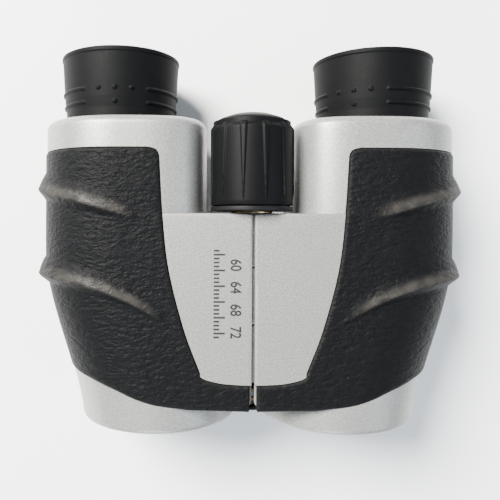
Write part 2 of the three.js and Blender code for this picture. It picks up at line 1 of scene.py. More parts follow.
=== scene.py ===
"""Compact binoculars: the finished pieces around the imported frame, laid out as a Blender add-on.

Shapes are worked out in millimetres on the +X half (the other half is mirrored) and scaled to metres
when a piece is made. +Y is the eyepiece end, +Z the flat deck, X = 0 the hinge plane.
"""
import math

import bmesh
import bpy
import numpy as np
from bpy.props import FloatProperty, FloatVectorProperty, PointerProperty
from mathutils import Matrix, Vector
from mathutils.geometry import delaunay_2d_cdt


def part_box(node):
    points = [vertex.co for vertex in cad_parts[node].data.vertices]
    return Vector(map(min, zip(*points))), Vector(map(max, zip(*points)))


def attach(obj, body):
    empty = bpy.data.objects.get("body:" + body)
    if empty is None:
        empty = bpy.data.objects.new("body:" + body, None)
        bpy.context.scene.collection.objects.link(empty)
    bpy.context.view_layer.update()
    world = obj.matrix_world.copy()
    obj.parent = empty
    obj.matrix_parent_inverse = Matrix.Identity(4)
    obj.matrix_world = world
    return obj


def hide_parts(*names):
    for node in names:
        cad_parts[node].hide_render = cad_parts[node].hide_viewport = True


bl_info = {
    "name": "Compact Binoculars",
    "version": (1, 0, 0),
    "blender": (4, 5, 0),
    "location": "3D View > Sidebar > Binoculars",
    "description": "Builds the finished pieces of compact folding binoculars around their frame",
    "category": "Object",
}

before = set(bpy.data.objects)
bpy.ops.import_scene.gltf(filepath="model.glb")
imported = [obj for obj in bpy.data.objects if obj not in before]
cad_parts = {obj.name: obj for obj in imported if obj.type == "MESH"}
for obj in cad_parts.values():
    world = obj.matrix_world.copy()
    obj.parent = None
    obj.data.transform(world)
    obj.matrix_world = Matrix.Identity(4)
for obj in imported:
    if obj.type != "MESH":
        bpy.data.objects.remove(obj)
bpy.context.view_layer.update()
MM = 0.001
SIDES = {"right": 1, "left": -1}


# ---------- sizes read from the frame, in millimetres ----------
def box_mm(node):
    low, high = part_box(node)
    return low / MM, high / MM


def middle(node, axis):
    low, high = box_mm(node)
    return (low[axis] + high[axis]) / 2


_housing, _shell, _armour = box_mm("right_housing"), box_mm("right_front_shell"), box_mm("right_armour")
REAR_Y, FRONT_Y = _housing[1].y, _shell[0].y
OUTER_REAR_X, DECK_Z = _housing[1].x, _housing[1].z
ARMOUR_FRONT_Y, ARMOUR_REAR_Y = _armour[0].y, _armour[1].y
EYE_X, EYE_Z = middle("right_eyecup", 0), middle("right_eyecup", 2)
EYECUP_R = (box_mm("right_eyecup")[1].x - box_mm("right_eyecup")[0].x) / 2
EYECUP_BASE_Y, EYECUP_RIM_Y = box_mm("right_eyecup")[0].y, box_mm("right_eyecup")[1].y
OBJECTIVE_X, OBJECTIVE_Z = middle("right_objective_bezel", 0), middle("right_objective_bezel", 2)
HINGE_Z = middle("focus_knob_grip", 2)
KNOB_R = box_mm("focus_knob_grip")[1].x
KNOB_REAR_Y = box_mm("focus_knob_grip")[1].y
SPLIT_Y = FRONT_Y + 16  # hidden joint of housing and front shell

# ---------- the body's own proportions ----------
SEAM_HALF = 0.36
DECK_REAR_Y = 5.2
DECK_FRONT_Y = -37
NOSE_Y = -42.7  # the block under the armour strip ends a little behind the strip's edge
MID_Z = 21
TOP_HEIGHT = DECK_Z - MID_Z
BOTTOM_DEPTH = 21.9
INNER_REAR_X = 11.4
SHELF_BOTTOM_Z = 28
INNER_SQUARENESS = 3.8  # of the corner beside the knob; 2 is an oval
FOLD_SLOPE = math.tan(math.radians(15.5))
WALL = 2.8
ARMOUR_DEPTH = 1.15


def ease(t):
    t = np.clip(t, 0, 1)
    return t * t * (3 - 2 * t)


def outer_x(y):
    return OUTER_REAR_X - 10.6 * ease((-4 - y) / 50)


def inner_x(y):
    return INNER_REAR_X - 8.1 * ease((DECK_REAR_Y - y) / 48)


def toward_front(y):
    return ease((DECK_REAR_Y - y) / (DECK_REAR_Y - FRONT_Y))


def fold_x(z):
    """How near the hinge plane the inner side may come at height z without blocking the fold."""
    return SEAM_HALF + np.maximum(0, HINGE_Z - z) * FOLD_SLOPE


# ---------- section of one half across Y ----------
RUNS = {"deck": 64, "crown": 56, "flank": 44, "under": 44, "inner": 16, "seam": 44}


def quarter(y, start, end, count, inset=0.0):
    """Part of the body's squared-off oval between two angles, measured from the outer side over the top."""
    front = toward_front(y)
    centre, half = (outer_x(y) + inner_x(y)) / 2, (outer_x(y) - inner_x(y)) / 2
    angle = np.radians(np.linspace(start, end, count, endpoint=False))
    c, s = np.cos(angle), np.sin(angle)
    outside = 2.15 + (2.05 - 2.15) * front
    inside = INNER_SQUARENESS + (2.05 - INNER_SQUARENESS) * front
    power = 2 / np.where(c < -1e-9, inside, outside)
    if start > 90 and end > 90 or start < -90:
        power = np.full(count, 2 / inside)
    height = np.where(s < 0, BOTTOM_DEPTH, TOP_HEIGHT)
    x = centre + (half - inset) * np.sign(c) * np.abs(c) ** power
    z = MID_Z + (height - inset) * np.sign(s) * np.abs(s) ** power
    z = np.maximum(z, max(inset, 0))
    return np.column_stack([np.maximum(x, fold_x(z) + max(inset, 0)), z])


def shelf_angle(y, inset=0.0):
    """Angle on the inner side at which the underside of the deck block meets the body."""
    inside = INNER_SQUARENESS + (2.05 - INNER_SQUARENESS) * toward_front(y)
    return 180 - math.degrees(math.asin(((SHELF_BOTTOM_Z - MID_Z) / (TOP_HEIGHT - inset)) ** (inside / 2)))


def along(points, count):
    """Count points evenly spaced along a polyline, without its last point."""
    points = np.asarray(points, float)
    steps = np.concatenate([[0], np.cumsum(np.linalg.norm(np.diff(points, axis=0), axis=1))])
    at = np.linspace(0, steps[-1], count, endpoint=False)
    return np.column_stack([np.interp(at, steps, points[:, k]) for k in (0, 1)])


def bend(corner, start_degrees, end_degrees, radius, count=6):
    """A quarter-round at a corner, given the centre of its arc."""
    angle = np.radians(np.linspace(start_degrees, end_degrees, count))
    return [(corner[0] + radius * math.cos(a), corner[1] + radius * math.sin(a)) for a in angle]


def section(y, shelf=None, inset=0.0):
    """A closed ring of [x, z]. shelf is None without the deck block, or how far that block is drawn in."""
    turn = shelf_angle(y, inset)
    corner = 90 + (turn - 90) * 0.45
    crown = quarter(y, 90, 0, RUNS["crown"], inset)
    flank = quarter(y, 0, -90, RUNS["flank"], inset)
    under = quarter(y, -90.001, -180, RUNS["under"], inset)
    inner = quarter(y, 180, turn, RUNS["inner"], inset)
    if shelf is None:
        seam = quarter(y, turn, corner, RUNS["seam"], inset)
        deck = quarter(y, corner, 90.001, RUNS["deck"], inset)
    else:
        radius = 0.45
        left, top, low = SEAM_HALF + shelf, DECK_Z - shelf, SHELF_BOTTOM_Z + shelf
        path = [(quarter(y, turn, 90, 2)[0][0], SHELF_BOTTOM_Z), (fold_x(low) + shelf, low), (left, HINGE_Z)]
        path += bend((left + radius, top - radius), 180, 90, radius)
        seam = along(path, RUNS["seam"])
        body = quarter(y, 150, 90.001, 200)
        x = np.linspace(left + radius, crown[0][0], RUNS["deck"], endpoint=False)
        deck = np.column_stack([x, np.maximum(top, np.interp(x, body[:, 0], body[:, 1], left=0))])
    return np.vstack([deck, crown, flank, under, inner, seam])


# ---------- meshes ----------
def mesh_from(points, faces, name="draft"):
    mesh = bpy.data.meshes.new(name)
    mesh.from_pydata([tuple(p) for p in np.asarray(points, float)], [],
        [tuple(int(i) for i in f) for f in faces])
    return mesh


def draft(points, faces):
    """A loose working solid in millimetres."""
    obj = bpy.data.objects.new("draft", mesh_from(points, faces))
    bpy.context.scene.collection.objects.link(obj)
    clean(obj.data)
    return obj


def clean(mesh):
    """Welds doubled points, drops empty faces and turns the faces outwards."""
    work = bmesh.new()
    work.from_mesh(mesh)
    bmesh.ops.remove_doubles(work, verts=work.verts, dist=1e-4)
    bmesh.ops.dissolve_degenerate(work, edges=work.edges, dist=1e-5)
    bmesh.ops.recalc_face_normals(work, faces=work.faces)
    if work.calc_volume(signed=True) < 0:
        bmesh.ops.reverse_faces(work, faces=work.faces)
    work.to_mesh(mesh)
    work.free()


def ring_faces(rows, count, first=0):
    """Quads of a grid of closed rings."""
    row, col = np.meshgrid(np.arange(rows - 1), np.arange(count), indexing="ij")
    a = first + row * count + col
    b = first + row * count + (col + 1) % count
    return np.stack([a, b, b + count, a + count], -1).reshape(-1, 4)


def loft(stations):
    """A closed solid through rings of [x, z], each at its own y."""
    count = len(stations[0][1])
    points = np.vstack([np.column_stack([r[:, 0], np.full(count, y), r[:, 1]]) for y, r in stations])
    faces = [tuple(f) for f in ring_faces(len(stations), count)]
    for s in (0, len(stations) - 1):
        base = s * count
        centre = len(points)
        points = np.vstack([points, points[base:base + count].mean(0)])
        faces += [(centre, base + i, base + (i + 1) % count) for i in range(count)]
    return draft(points, faces)


def turned(profile, x=0.0, z=0.0, steps=160, relief=None):
    """A piece turned about an axis along Y; relief(angle, y, r) adds to the radius of each point."""
    profile = np.asarray(profile, float)
    angle = np.linspace(0, 2 * math.pi, steps, endpoint=False)
    r = np.repeat(profile[:, 0][:, None], steps, 1)
    y = np.repeat(profile[:, 1][:, None], steps, 1)
    t = np.repeat(angle[None, :], len(profile), 0)
    if relief is not None:
        r = np.maximum(r + relief(t, y, r), 0)
    points = np.stack([x + r * np.sin(t), y, z + r * np.cos(t)], -1).reshape(-1, 3)
    return draft(points, ring_faces(len(profile), steps))


def rounded(corners, closed=True):
    """A profile of (r, y, rounding) corners with each corner drawn as an arc."""
    pts = [Vector(c[:2]) for c in corners]
    out = []
    for i, corner in enumerate(corners):
        radius = corner[2] if len(corner) > 2 else 0
        if radius <= 0 or (not closed and i in (0, len(corners) - 1)):
            out.append(tuple(pts[i]))
            continue
        a, b = (pts[i - 1] - pts[i]).normalized(), (pts[(i + 1) % len(pts)] - pts[i]).normalized()
        half = a.angle(b) / 2
        reach = radius / math.tan(half)
        centre = pts[i] + (a + b).normalized() * (radius / math.sin(half))
        start, end = pts[i] + a * reach - centre, pts[i] + b * reach - centre
        swing = start.angle_signed(end)
        for k in range(7):
            turn = -swing * k / 6
            out.append(tuple(centre + Matrix.Rotation(turn, 2) @ start))
    return out + [out[0]] if closed else out


def tube_profile(inner, outer, front, rear, radius=0.15):
    return rounded([(inner, front, radius), (outer, front, radius), (outer, rear, radius),
        (inner, rear, radius)])


def rod(radius, front, rear, x, z, steps=96):
    return turned([(0, front), (radius, front), (radius, rear), (0, rear)], x, z, steps)


def prism(outline, low, high):
    """A plan outline of [x, y] given height along Z."""
    outline = np.asarray(outline, float)
    n = len(outline)
    points = np.vstack([np.column_stack([outline, np.full(n, z)]) for z in (low, high)])
    faces = [tuple(range(n)), tuple(range(n, 2 * n))] + [
        (i, (i + 1) % n, n + (i + 1) % n, n + i) for i in range(n)]
    return draft(points, faces)


def slab(outline, front, rear):
    """A shape of [x, z] given length along Y."""
    outline = np.asarray(outline, float)
    return loft([(front, outline), (rear, outline)])


def combine(body, tools, how):
    """Joins tools to a body or cuts them from it, and removes them."""
    for tool in tools:
        change = body.modifiers.new("join", "BOOLEAN")
        change.operation = how
        change.solver = "MANIFOLD"
        change.object = tool
        result = bpy.data.meshes.new_from_object(body.evaluated_get(bpy.context.evaluated_depsgraph_get()))
        body.modifiers.clear()
        if not result.polygons:
            raise RuntimeError(f"the solids could not be combined ({how.lower()})")
        body.data = result
        bpy.data.objects.remove(tool)
    return body


def cut(body, *tools):
    return combine(body, tools, "DIFFERENCE")


def join(body, *tools):
    return combine(body, tools, "UNION")


def keep_within(body, tool):
    return combine(body, [tool], "INTERSECT")


def finished(obj, name, side, body, material, nodes, sharp=32):
    """Turns a working solid into a piece: mirrored for the left, in metres, riding and dressed."""
    mesh = obj.data
    if side < 0:
        mesh.transform(Matrix.Scale(-1, 4, (1, 0, 0)))
        mesh.flip_normals()
    mesh.transform(Matrix.Scale(MM, 4))
    obj.name = mesh.name = name
    mesh.materials.clear()
    mesh.materials.append(material)
    mesh.shade_smooth()
    mark_sharp(mesh, sharp)
    even = obj.modifiers.new("even shading", "WEIGHTED_NORMAL")
    even.keep_sharp, even.weight = True, 80
    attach(obj, body)
    if nodes:
        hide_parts(*nodes)
    return obj


def largest_part(obj):
    """Keeps the main body of a solid and drops offcuts that touch nothing."""
    work = bmesh.new()
    work.from_mesh(obj.data)
    left, parts = set(work.faces), []
    while left:
        reached = [left.pop()]
        for face in reached:
            for edge in face.edges:
                fresh = [f for f in edge.link_faces if f in left]
                left.difference_update(fresh)
                reached.extend(fresh)
        parts.append(reached)
    parts.sort(key=len)
    for offcut in parts[:-1]:
        bmesh.ops.delete(work, geom=offcut, context="FACES")
    work.to_mesh(obj.data)
    work.free()
    return obj


def mark_sharp(mesh, degrees):
    work = bmesh.new()
    work.from_mesh(mesh)
    limit = math.radians(degrees)
    for edge in work.edges:
        edge.smooth = len(edge.link_faces) == 2 and edge.calc_face_angle(0) < limit
    work.to_mesh(mesh)
    work.free()


# ---------- outline of the armour ----------
def through(points, count):
    """A smooth curve through the points."""
    p = np.asarray(points, float)
    p = np.vstack([2 * p[0] - p[1], p, 2 * p[-1] - p[-2]])
    out = []
    for i in range(1, len(p) - 2):
        t = np.linspace(0, 1, count, endpoint=False)[:, None]
        a, b, c, d = p[i - 1], p[i], p[i + 1], p[i + 2]
        out.append(0.5 * (
            2 * b + (c - a) * t + (2 * a - 5 * b + 4 * c - d) * t**2 + (3 * b - a - 3 * c + d) * t**3))
    return np.vstack(out + [p[-2][None, :]])


DECK_SIDE = [(13.1, -34), (17.1, -23.4), (20.9, -8.7), (22.5, 5), (23.3, ARMOUR_REAR_Y - 3.2)]
STRIP_REAR = [(12.2, -35.5), (8, -36.6), (4, -36.95), (SEAM_HALF + 0.9, -37.05)]
FRONT_EDGE = [(13, ARMOUR_FRONT_Y), (23, -42.1), (28.4, -40.7), (33.8, -38.7), (39.9, -36.9), (44, -36),
    (49, -35.6)]


def deck_side_curve():
    rear = [(23.45, ARMOUR_REAR_Y - 1.7), (24.3, ARMOUR_REAR_Y - 0.55), (26.2, ARMOUR_REAR_Y)]
    return np.vstack([through(DECK_SIDE, 14)[:-1], through([DECK_SIDE[-1]] + rear, 5)])


def pocket_outlines(gap):
    """Plan outlines of what the shells give up to the armour: the main field and the strip."""
    side = deck_side_curve()
    side = np.column_stack([side[:, 0] - gap, side[:, 1]])
    side[side[:, 1] > ARMOUR_REAR_Y - 1.5, 1] += gap
    front = through(FRONT_EDGE, 8)
    front = np.column_stack([front[:, 0], front[:, 1] - gap])[::-1]
    main = np.vstack([side, [(62, ARMOUR_REAR_Y + gap), (62, front[0][1])], front])
    main = np.vstack([main, [(13.1 - gap, ARMOUR_FRONT_Y - gap)]])
    strip_rear = through([(13.6, -34)] + STRIP_REAR, 6)
    strip_rear[:, 1] += gap
    strip = np.vstack([[(-1, ARMOUR_FRONT_Y - gap), (14, ARMOUR_FRONT_Y - gap)], strip_rear,
        [(-1, -37.05 + gap)]])
    return main, strip


# ---------- silver shells ----------
KNUCKLES = {"right": [(-22.3, -8.3)], "left": [(-36.7, -22.6), (-8, 5)]}
AXLE_R, KNUCKLE_R = 3.4, 5.4
CLEARANCE = 0.3
PLATE_BOSSES = [(18, 30), (18, 12)]


def rounded_end(end, radius, steps=8):
    angle = np.radians(np.linspace(0, 90, steps))
    sign = -1 if end > 0 else 1
    return [(end + sign * radius * (1 - math.sin(a)), radius * (1 - math.cos(a))) for a in angle]


def half_form():
    """The outside of one half as a single solid, with the deck block standing out of it."""
    stations = [(y, section(y, None, inset)) for y, inset in reversed(rounded_end(REAR_Y, 2.2))]
    stations += [(y, section(y)) for y in np.linspace(stations[-1][0], DECK_REAR_Y, 14)[1:]]
    edge = 0.55
    for a in np.radians(np.linspace(0, 90, 7)):
        y = DECK_REAR_Y - edge * (1 - math.cos(a))
        stations.append((y, section(y, edge * (1 - math.sin(a)))))
    stations += [(y, section(y, 0.0)) for y in np.linspace(stations[-1][0], NOSE_Y + 1.6, 56)[1:]]
    for a in np.radians(np.linspace(0, 90, 7))[1:]:
        y = NOSE_Y + 1.6 * (1 - math.sin(a))
        stations.append((y, section(y, 1.6 * (1 - math.cos(a)))))
    ends = rounded_end(FRONT_Y, 1.3)
    stations += [(y, section(y)) for y in np.linspace(NOSE_Y, ends[0][0], 10)]
    stations += [(y, section(y, None, inset)) for y, inset in ends[1:]]
    return loft(stations)


def inset_form(front, rear, inset, steps=24):
    return loft([(y, section(y, None, inset)) for y in np.linspace(front, rear, steps)])


def armour_pocket(gap=0.12, depth=ARMOUR_DEPTH + 0.1):
    """Everything outside the seat of the armour, within its outline."""
    main, strip = pocket_outlines(gap)
    seat = inset_form(FRONT_Y - 1, ARMOUR_REAR_Y + 3, depth, 60)
    low = SHELF_BOTTOM_Z - 1
    seat = join(seat, slab([(-2, DECK_Z - depth), (25, DECK_Z - depth), (25, 36), (14, low), (-2, low)],
        FRONT_Y + 4, 10))
    return cut(join(prism(main, -5, 60), prism(strip, 38, 60)), seat)


def behind_split(shift):
    """The space behind the joint of housing and front shell; the joint steps forward round the deck."""
    block = slab([(-20, -5), (70, -5), (70, 60), (-20, 60)], SPLIT_Y - shift, REAR_Y + 5)
    step = slab([(-20, 26 - shift), (13.4 + shift, 26 - shift), (13.4 + shift, 60), (-20, 60)],
        DECK_FRONT_Y - shift, SPLIT_Y + 2)
    return join(block, step)


def screw_holes():
    """Seats of the two screws that hold the front shell, hidden by the armour."""
    holes = []
    for node in ("right_shell_screw_upper", "right_shell_screw_lower"):
        low, high = box_mm(node)
        hole = rod((high.x - low.x) / 2 + CLEARANCE, low.z - CLEARANCE, high.z + CLEARANCE, 0, 0, 32)
        place = Matrix.Translation((middle(node, 0), middle(node, 1), 0))
        hole.data.transform(place @ Matrix.Rotation(math.pi / 2, 4, "X"))
        holes.append(hole)
    return holes


def housing_solid(side_name):
    other = "left" if side_name == "right" else "right"
    body = keep_within(half_form(), behind_split(0))
    body = cut(body, inset_form(DECK_FRONT_Y - 1, REAR_Y - 2.4, WALL, 40))
    for x, z in PLATE_BOSSES:
        body = cut(join(body, rod(2.6, 7.2, REAR_Y - 2.2, x, z, 48)), rod(1.2, 6, 15, x, z, 32))
    for front, rear in KNUCKLES[side_name]:
        profile = rounded([(0, front), (KNUCKLE_R, front, 0.35), (KNUCKLE_R, rear, 0.35), (0, rear)],
            closed=False)
        body = join(body, turned(profile, 0, HINGE_Z, 96))
    for front, rear in KNUCKLES[other]:
        body = cut(body, rod(KNUCKLE_R + CLEARANCE, front - CLEARANCE, rear + CLEARANCE, 0, HINGE_Z))
    body = cut(body, rod(AXLE_R + CLEARANCE, DECK_FRONT_Y - 2, DECK_REAR_Y + 2, 0, HINGE_Z))
    body = cut(body, rod(13.3, REAR_Y - 5, REAR_Y + 2, EYE_X, EYE_Z, 128))
    return largest_part(cut(body, armour_pocket(), *screw_holes()))


def front_shell_solid():
    body = cut(half_form(), behind_split(CLEARANCE))
    spigot = cut(inset_form(SPLIT_Y - 2, SPLIT_Y + 5, WALL + 0.3, 8),
        inset_form(SPLIT_Y - 3, SPLIT_Y + 6, WALL + 1.6, 8))
    body = join(cut(body, inset_form(FRONT_Y + 2.8, SPLIT_Y + 1, WALL, 16)), spigot)
    guide = turned(tube_profile(15.7, 16.9, FRONT_Y + 1.4, DECK_FRONT_Y, 0.1), OBJECTIVE_X, OBJECTIVE_Z)
    body = join(body, guide)
    body = cut(body, rod(15.7, FRONT_Y - 2, FRONT_Y + 4, OBJECTIVE_X, OBJECTIVE_Z, 160))
    mouth = rounded([(0, FRONT_Y - 2), (18.6, FRONT_Y - 2), (18.6, FRONT_Y - 0.01), (17.6, FRONT_Y + 0.8),
        (17.6, FRONT_Y + 1.6), (0, FRONT_Y + 1.6)], closed=False)
    body = cut(body, turned(mouth, OBJECTIVE_X, OBJECTIVE_Z))
    body = cut(body, rod(5.2, FRONT_Y, DECK_FRONT_Y + 1, 0, HINGE_Z))
    return largest_part(cut(body, arm_slot(), armour_pocket(), *screw_holes()))


def arm_slot():
    """The window through which the focus arm reaches the objective cell."""
    reach = math.hypot(OBJECTIVE_X, HINGE_Z - OBJECTIVE_Z) - 14
    turn = Matrix.Rotation(math.atan2(HINGE_Z - OBJECTIVE_Z, OBJECTIVE_X), 4, "Y")
    slot = slab([(4, -3), (reach, -3), (reach, 3), (4, 3)], -42.4, DECK_FRONT_Y)
    slot.data.transform(Matrix.Translation((0, 0, HINGE_Z)) @ turn)
    return slot


# ---------- armour ----------
DOMAIN_Y = np.linspace(FRONT_Y + 4, ARMOUR_REAR_Y + 2, 180)
DOMAIN_S = np.arange(-24, 112, 0.25)
WRAP_FROM_X = 24  # distances along the section are counted from here, on the top


def unrolled():
    """Tables of the body's surface against distance round the section and Y, for laying the armour on."""
    xs, zs, tops, lows = [], [], [], []
    for y in DOMAIN_Y:
        ring = section(y, 0.0 if y < DECK_REAR_Y else None)[
            : RUNS["deck"] + RUNS["crown"] + RUNS["flank"] + RUNS["under"]]
        length = np.concatenate([[0], np.cumsum(np.linalg.norm(np.diff(ring, axis=0), axis=1))])
        side = int(np.argmax(ring[:, 0]))
        length -= np.interp(WRAP_FROM_X, ring[:side, 0], length[:side])
        xs.append(np.interp(DOMAIN_S, length, ring[:, 0]))
        zs.append(np.interp(DOMAIN_S, length, ring[:, 1]))
        tops.append((ring[: side + 1, 0], length[: side + 1]))
        lows.append((ring[side:, 0][::-1], length[side:][::-1]))
    soften = np.hanning(11) / np.hanning(11).sum()
    smooth = lambda table: np.apply_along_axis(
        lambda c: np.convolve(np.pad(c, 5, "edge"), soften, "valid"), 0, np.array(table))
    return smooth(xs), smooth(zs), tops, lows


def to_domain(points, runs):
    """Plan points as [distance round the section, y], on the top or the underside."""
    out = []
    for x, y in points:
        xs, lengths = runs[int(np.argmin(abs(DOMAIN_Y - y)))]
        out.append((float(np.interp(x, xs, lengths)), y))
    return out


def armour_outline(tops, lows):
    seam, front = SEAM_HALF - 0.12, ARMOUR_FRONT_Y
    side = deck_side_curve()
    rear = through(STRIP_REAR[:-1] + [(SEAM_HALF + 1.4, -37.05)], 6)[::-1]
    edge = through([FRONT_EDGE[0]] + FRONT_EDGE[1:5], 8)
    nose = [(seam + 0.8 * (1 + math.cos(a)), front + 2.8 * (1 + math.sin(a)))
        for a in np.radians(np.linspace(270, 180, 9))]
    top = nose + bend((seam + 0.7, -37.75), 180, 90, 0.7)
    top = to_domain(top + list(rear) + [(12.75, -34.9)] + list(side), tops)
    under = to_domain(list(side[::-1]) + bend((14.6, front + 1.6), 180, 270, 1.6), lows)
    under += to_domain(edge[2:], lows)
    rise = to_domain(edge[2:], tops)[::-1]
    outermost = (rise[0][0] + under[-1][0]) / 2
    belly = through([under[-1], (outermost + 8, -35.75), (outermost, -35.6), (outermost - 8, -35.75),
        rise[0]], 10)[1:-1]
    return np.array(top + under + list(map(tuple, belly)) + rise)


def respaced(outline, step):
    ring = np.vstack([outline, outline[:1]])
    lengths = np.concatenate([[0], np.cumsum(np.linalg.norm(np.diff(ring, axis=0), axis=1))])
    at = np.linspace(0, lengths[-1], int(lengths[-1] / step), endpoint=False)
    return np.column_stack([np.interp(at, lengths, ring[:, k]) for k in (0, 1)])


def edge_distance(points, ring):
    """Distance of each point from the outline, and whether it lies inside."""
    a, b = ring, np.roll(ring, -1, 0)
    best, inside = np.full(len(points), 1e9), np.zeros(len(points), bool)
    for p, q in zip(a, b):
        d = q - p
        t = np.clip(((points - p) @ d) / (d @ d), 0, 1)
        best = np.minimum(best, np.hypot(*(points - p - t[:, None] * d).T))
        crosses = (p[1] > points[:, 1]) != (q[1] > points[:, 1])
        reach = p[0] + (points[:, 1] - p[1]) * d[0] / (d[1] if d[1] else 1e-12)
        inside ^= crosses & (points[:, 0] < reach)
    return best, inside


def sampled(table, points):
    col = np.clip((points[:, 0] - DOMAIN_S[0]) / (DOMAIN_S[1] - DOMAIN_S[0]), 0, len(DOMAIN_S) - 1.001)
    row = np.clip((points[:, 1] - DOMAIN_Y[0]) / (DOMAIN_Y[1] - DOMAIN_Y[0]), 0, len(DOMAIN_Y) - 1.001)
    c, r = col.astype(int), row.astype(int)
    u, v = col - c, row - r
    here = table[r, c] * (1 - u) + table[r, c + 1] * u
    beyond = table[r + 1, c] * (1 - u) + table[r + 1, c + 1] * u
    return here * (1 - v) + beyond * v


def ridge(turn, y, crest, height, reach):
    """Height of one swept ridge and how far its rear facet is worn, from the angle round the body; the same
    mask also lightens that facet as a painted highlight, since it faces the key light.
    """
    fade = np.clip(turn / reach, 0, 1)
    tall = height * (1 - fade**2.2)
    behind = y - crest(np.minimum(turn / reach, 1))
    gentle = np.clip(1 - behind / 4.3, 0, 1)
    steep = np.clip(1 + behind / (3.2 - 1.7 * fade), 0, 1)
    lift = tall * np.where(behind > 0, gentle**0.8, ease(steep) * 0.4 + steep * 0.6)
    # Mask of the rear facet and crest: wear, and a painted highlight where the facet faces the key light.
    worn = np.where(behind > 0, ease(gentle * 2 - 0.5), ease(steep * 4 - 3))
    worn = worn * np.clip(tall / 0.5 - 0.4, 0, 1) * ease((turn - 22) / 30)
    return lift, worn


def armour_solid():
    sizes = bpy.context.scene.binocular_sizes
    xs, zs, tops, lows = unrolled()
    dense = 0.5
    ring = respaced(armour_outline(tops, lows), dense)
    if (ring[:, 0] * np.roll(ring[:, 1], -1) - np.roll(ring[:, 0], -1) * ring[:, 1]).sum() < 0:
        ring = ring[::-1]
    ahead = np.roll(ring, -1, 0) - np.roll(ring, 1, 0)
    inward = np.column_stack([-ahead[:, 1], ahead[:, 0]]) / np.linalg.norm(ahead, axis=1)[:, None]
    loops = [ring + inward * d for d in (0.1, 0.28, 0.55)]
    low, high = ring.min(0), ring.max(0)
    rows = np.arange(low[1], high[1], dense * 0.87)
    grid = []
    for i, y in enumerate(rows):
        across = np.arange(low[0] + (i % 2) * dense / 2, high[0], dense)
        grid.append(np.column_stack([across, np.full(len(across), y)]))
    grid = np.vstack(grid)
    far, inside = edge_distance(grid, ring)
    points = np.vstack([ring] + loops + [grid[inside & (far > 0.55 + dense * 0.45)]])
    count = len(ring)
    result = delaunay_2d_cdt([Vector(p) for p in points], [], [list(range(count))], 1, 1e-6, False)
    flat = np.array([tuple(p) for p in result[0]])
    faces = [tuple(f) for f in result[2]]
    _, kept = edge_distance(np.array([flat[list(f)].mean(0) for f in faces]), ring)
    faces = [f for f, keep in zip(faces, kept) if keep]
    far, _ = edge_distance(flat, ring)
    x, z = sampled(xs, flat), sampled(zs, flat)
    dx_s, dx_y = np.gradient(xs, axis=1) / 0.25, np.gradient(xs, DOMAIN_Y, axis=0)
    dz_s, dz_y = np.gradient(zs, axis=1) / 0.25, np.gradient(zs, DOMAIN_Y, axis=0)
    along_s = np.column_stack([sampled(dx_s, flat), np.zeros(len(flat)), sampled(dz_s, flat)])
    along_y = np.column_stack([sampled(dx_y, flat), np.ones(len(flat)), sampled(dz_y, flat)])
    normal = np.cross(along_s, along_y)
    normal /= np.linalg.norm(normal, axis=1)[:, None]
    turn = np.degrees(np.abs(np.arctan2(z - MID_Z, x - (outer_x(flat[:, 1]) + inner_x(flat[:, 1])) / 2)))
    rear_lift, rear_wear_and_highlight = ridge(
        turn, flat[:, 1], lambda t: 12.2 - 8.5 * t**1.5, sizes.ridge_height / MM, 104)
    front_lift, front_wear_and_highlight = ridge(
        turn, flat[:, 1], lambda t: -10.5 - 11.7 * t**3.2, sizes.ridge_height / MM * 1.15, 112)
    rim = 0.75
    proud = sizes.armour_proud / MM - rim + np.sqrt(np.maximum(rim**2 - (rim - np.minimum(far, rim)) ** 2, 0))
    base = np.column_stack([x, flat[:, 1], z])
    outer = base + normal * (proud + (rear_lift + front_lift) * ease(far / 2.5))[:, None]
    outer[:, 2] = np.maximum(outer[:, 2], 0)
    inner = base - normal * ARMOUR_DEPTH
    inner[:, 2] = np.maximum(inner[:, 2], 0.9)
    edges = {}
    for f in faces:
        for a, b in zip(f, f[1:] + f[:1]):
            edges[(a, b)] = True
    rim_edges = [(a, b) for a, b in edges if (b, a) not in edges]
    n = len(flat)
    solid_faces = faces + [tuple(i + n for i in reversed(f)) for f in faces]
    solid_faces += [(b, a, a + n, b + n) for a, b in rim_edges]
    mesh = mesh_from(np.vstack([outer, inner]), solid_faces)
    # The worn attribute marks wear and a painted highlight on the ridges' lit rear facets; rim marks the
    # armour's edge.
    for name, values in (("worn", np.maximum(rear_wear_and_highlight, front_wear_and_highlight)), ("rim", np.clip(1 - far / 0.9, 0, 1))):
        mesh.attributes.new(name, "FLOAT", "POINT").data.foreach_set(
            "value", np.concatenate([values, values]).astype(np.float32))
    laid = np.column_stack([flat, np.zeros(n)]) * MM
    mesh.attributes.new("laid_flat", "FLOAT_VECTOR", "POINT").data.foreach_set("vector",
        np.vstack([laid, laid]).astype(np.float32).ravel())
    obj = bpy.data.objects.new("armour", mesh)
    bpy.context.scene.collection.objects.link(obj)
    work = bmesh.new()
    work.from_mesh(mesh)
    bmesh.ops.recalc_face_normals(work, faces=work.faces)
    work.to_mesh(mesh)
    work.free()
    return obj


# ---------- rubber eyecups and focus knob ----------
def dense_profile(profile, step, front, rear):
    """Adds points to the outer wall of a profile between two positions along Y."""
    out = []
    for (r0, y0), (r1, y1) in zip(profile[:-1], profile[1:]):
        on_wall = min(r0, r1) > 15 and y1 > y0 and front <= y0 <= rear
        steps = max(1, int(abs(y1 - y0) / step)) if on_wall else 1
        out += [(r0 + (r1 - r0) * k / steps, y0 + (y1 - y0) * k / steps) for k in range(steps)]
    return out + [profile[-1]]


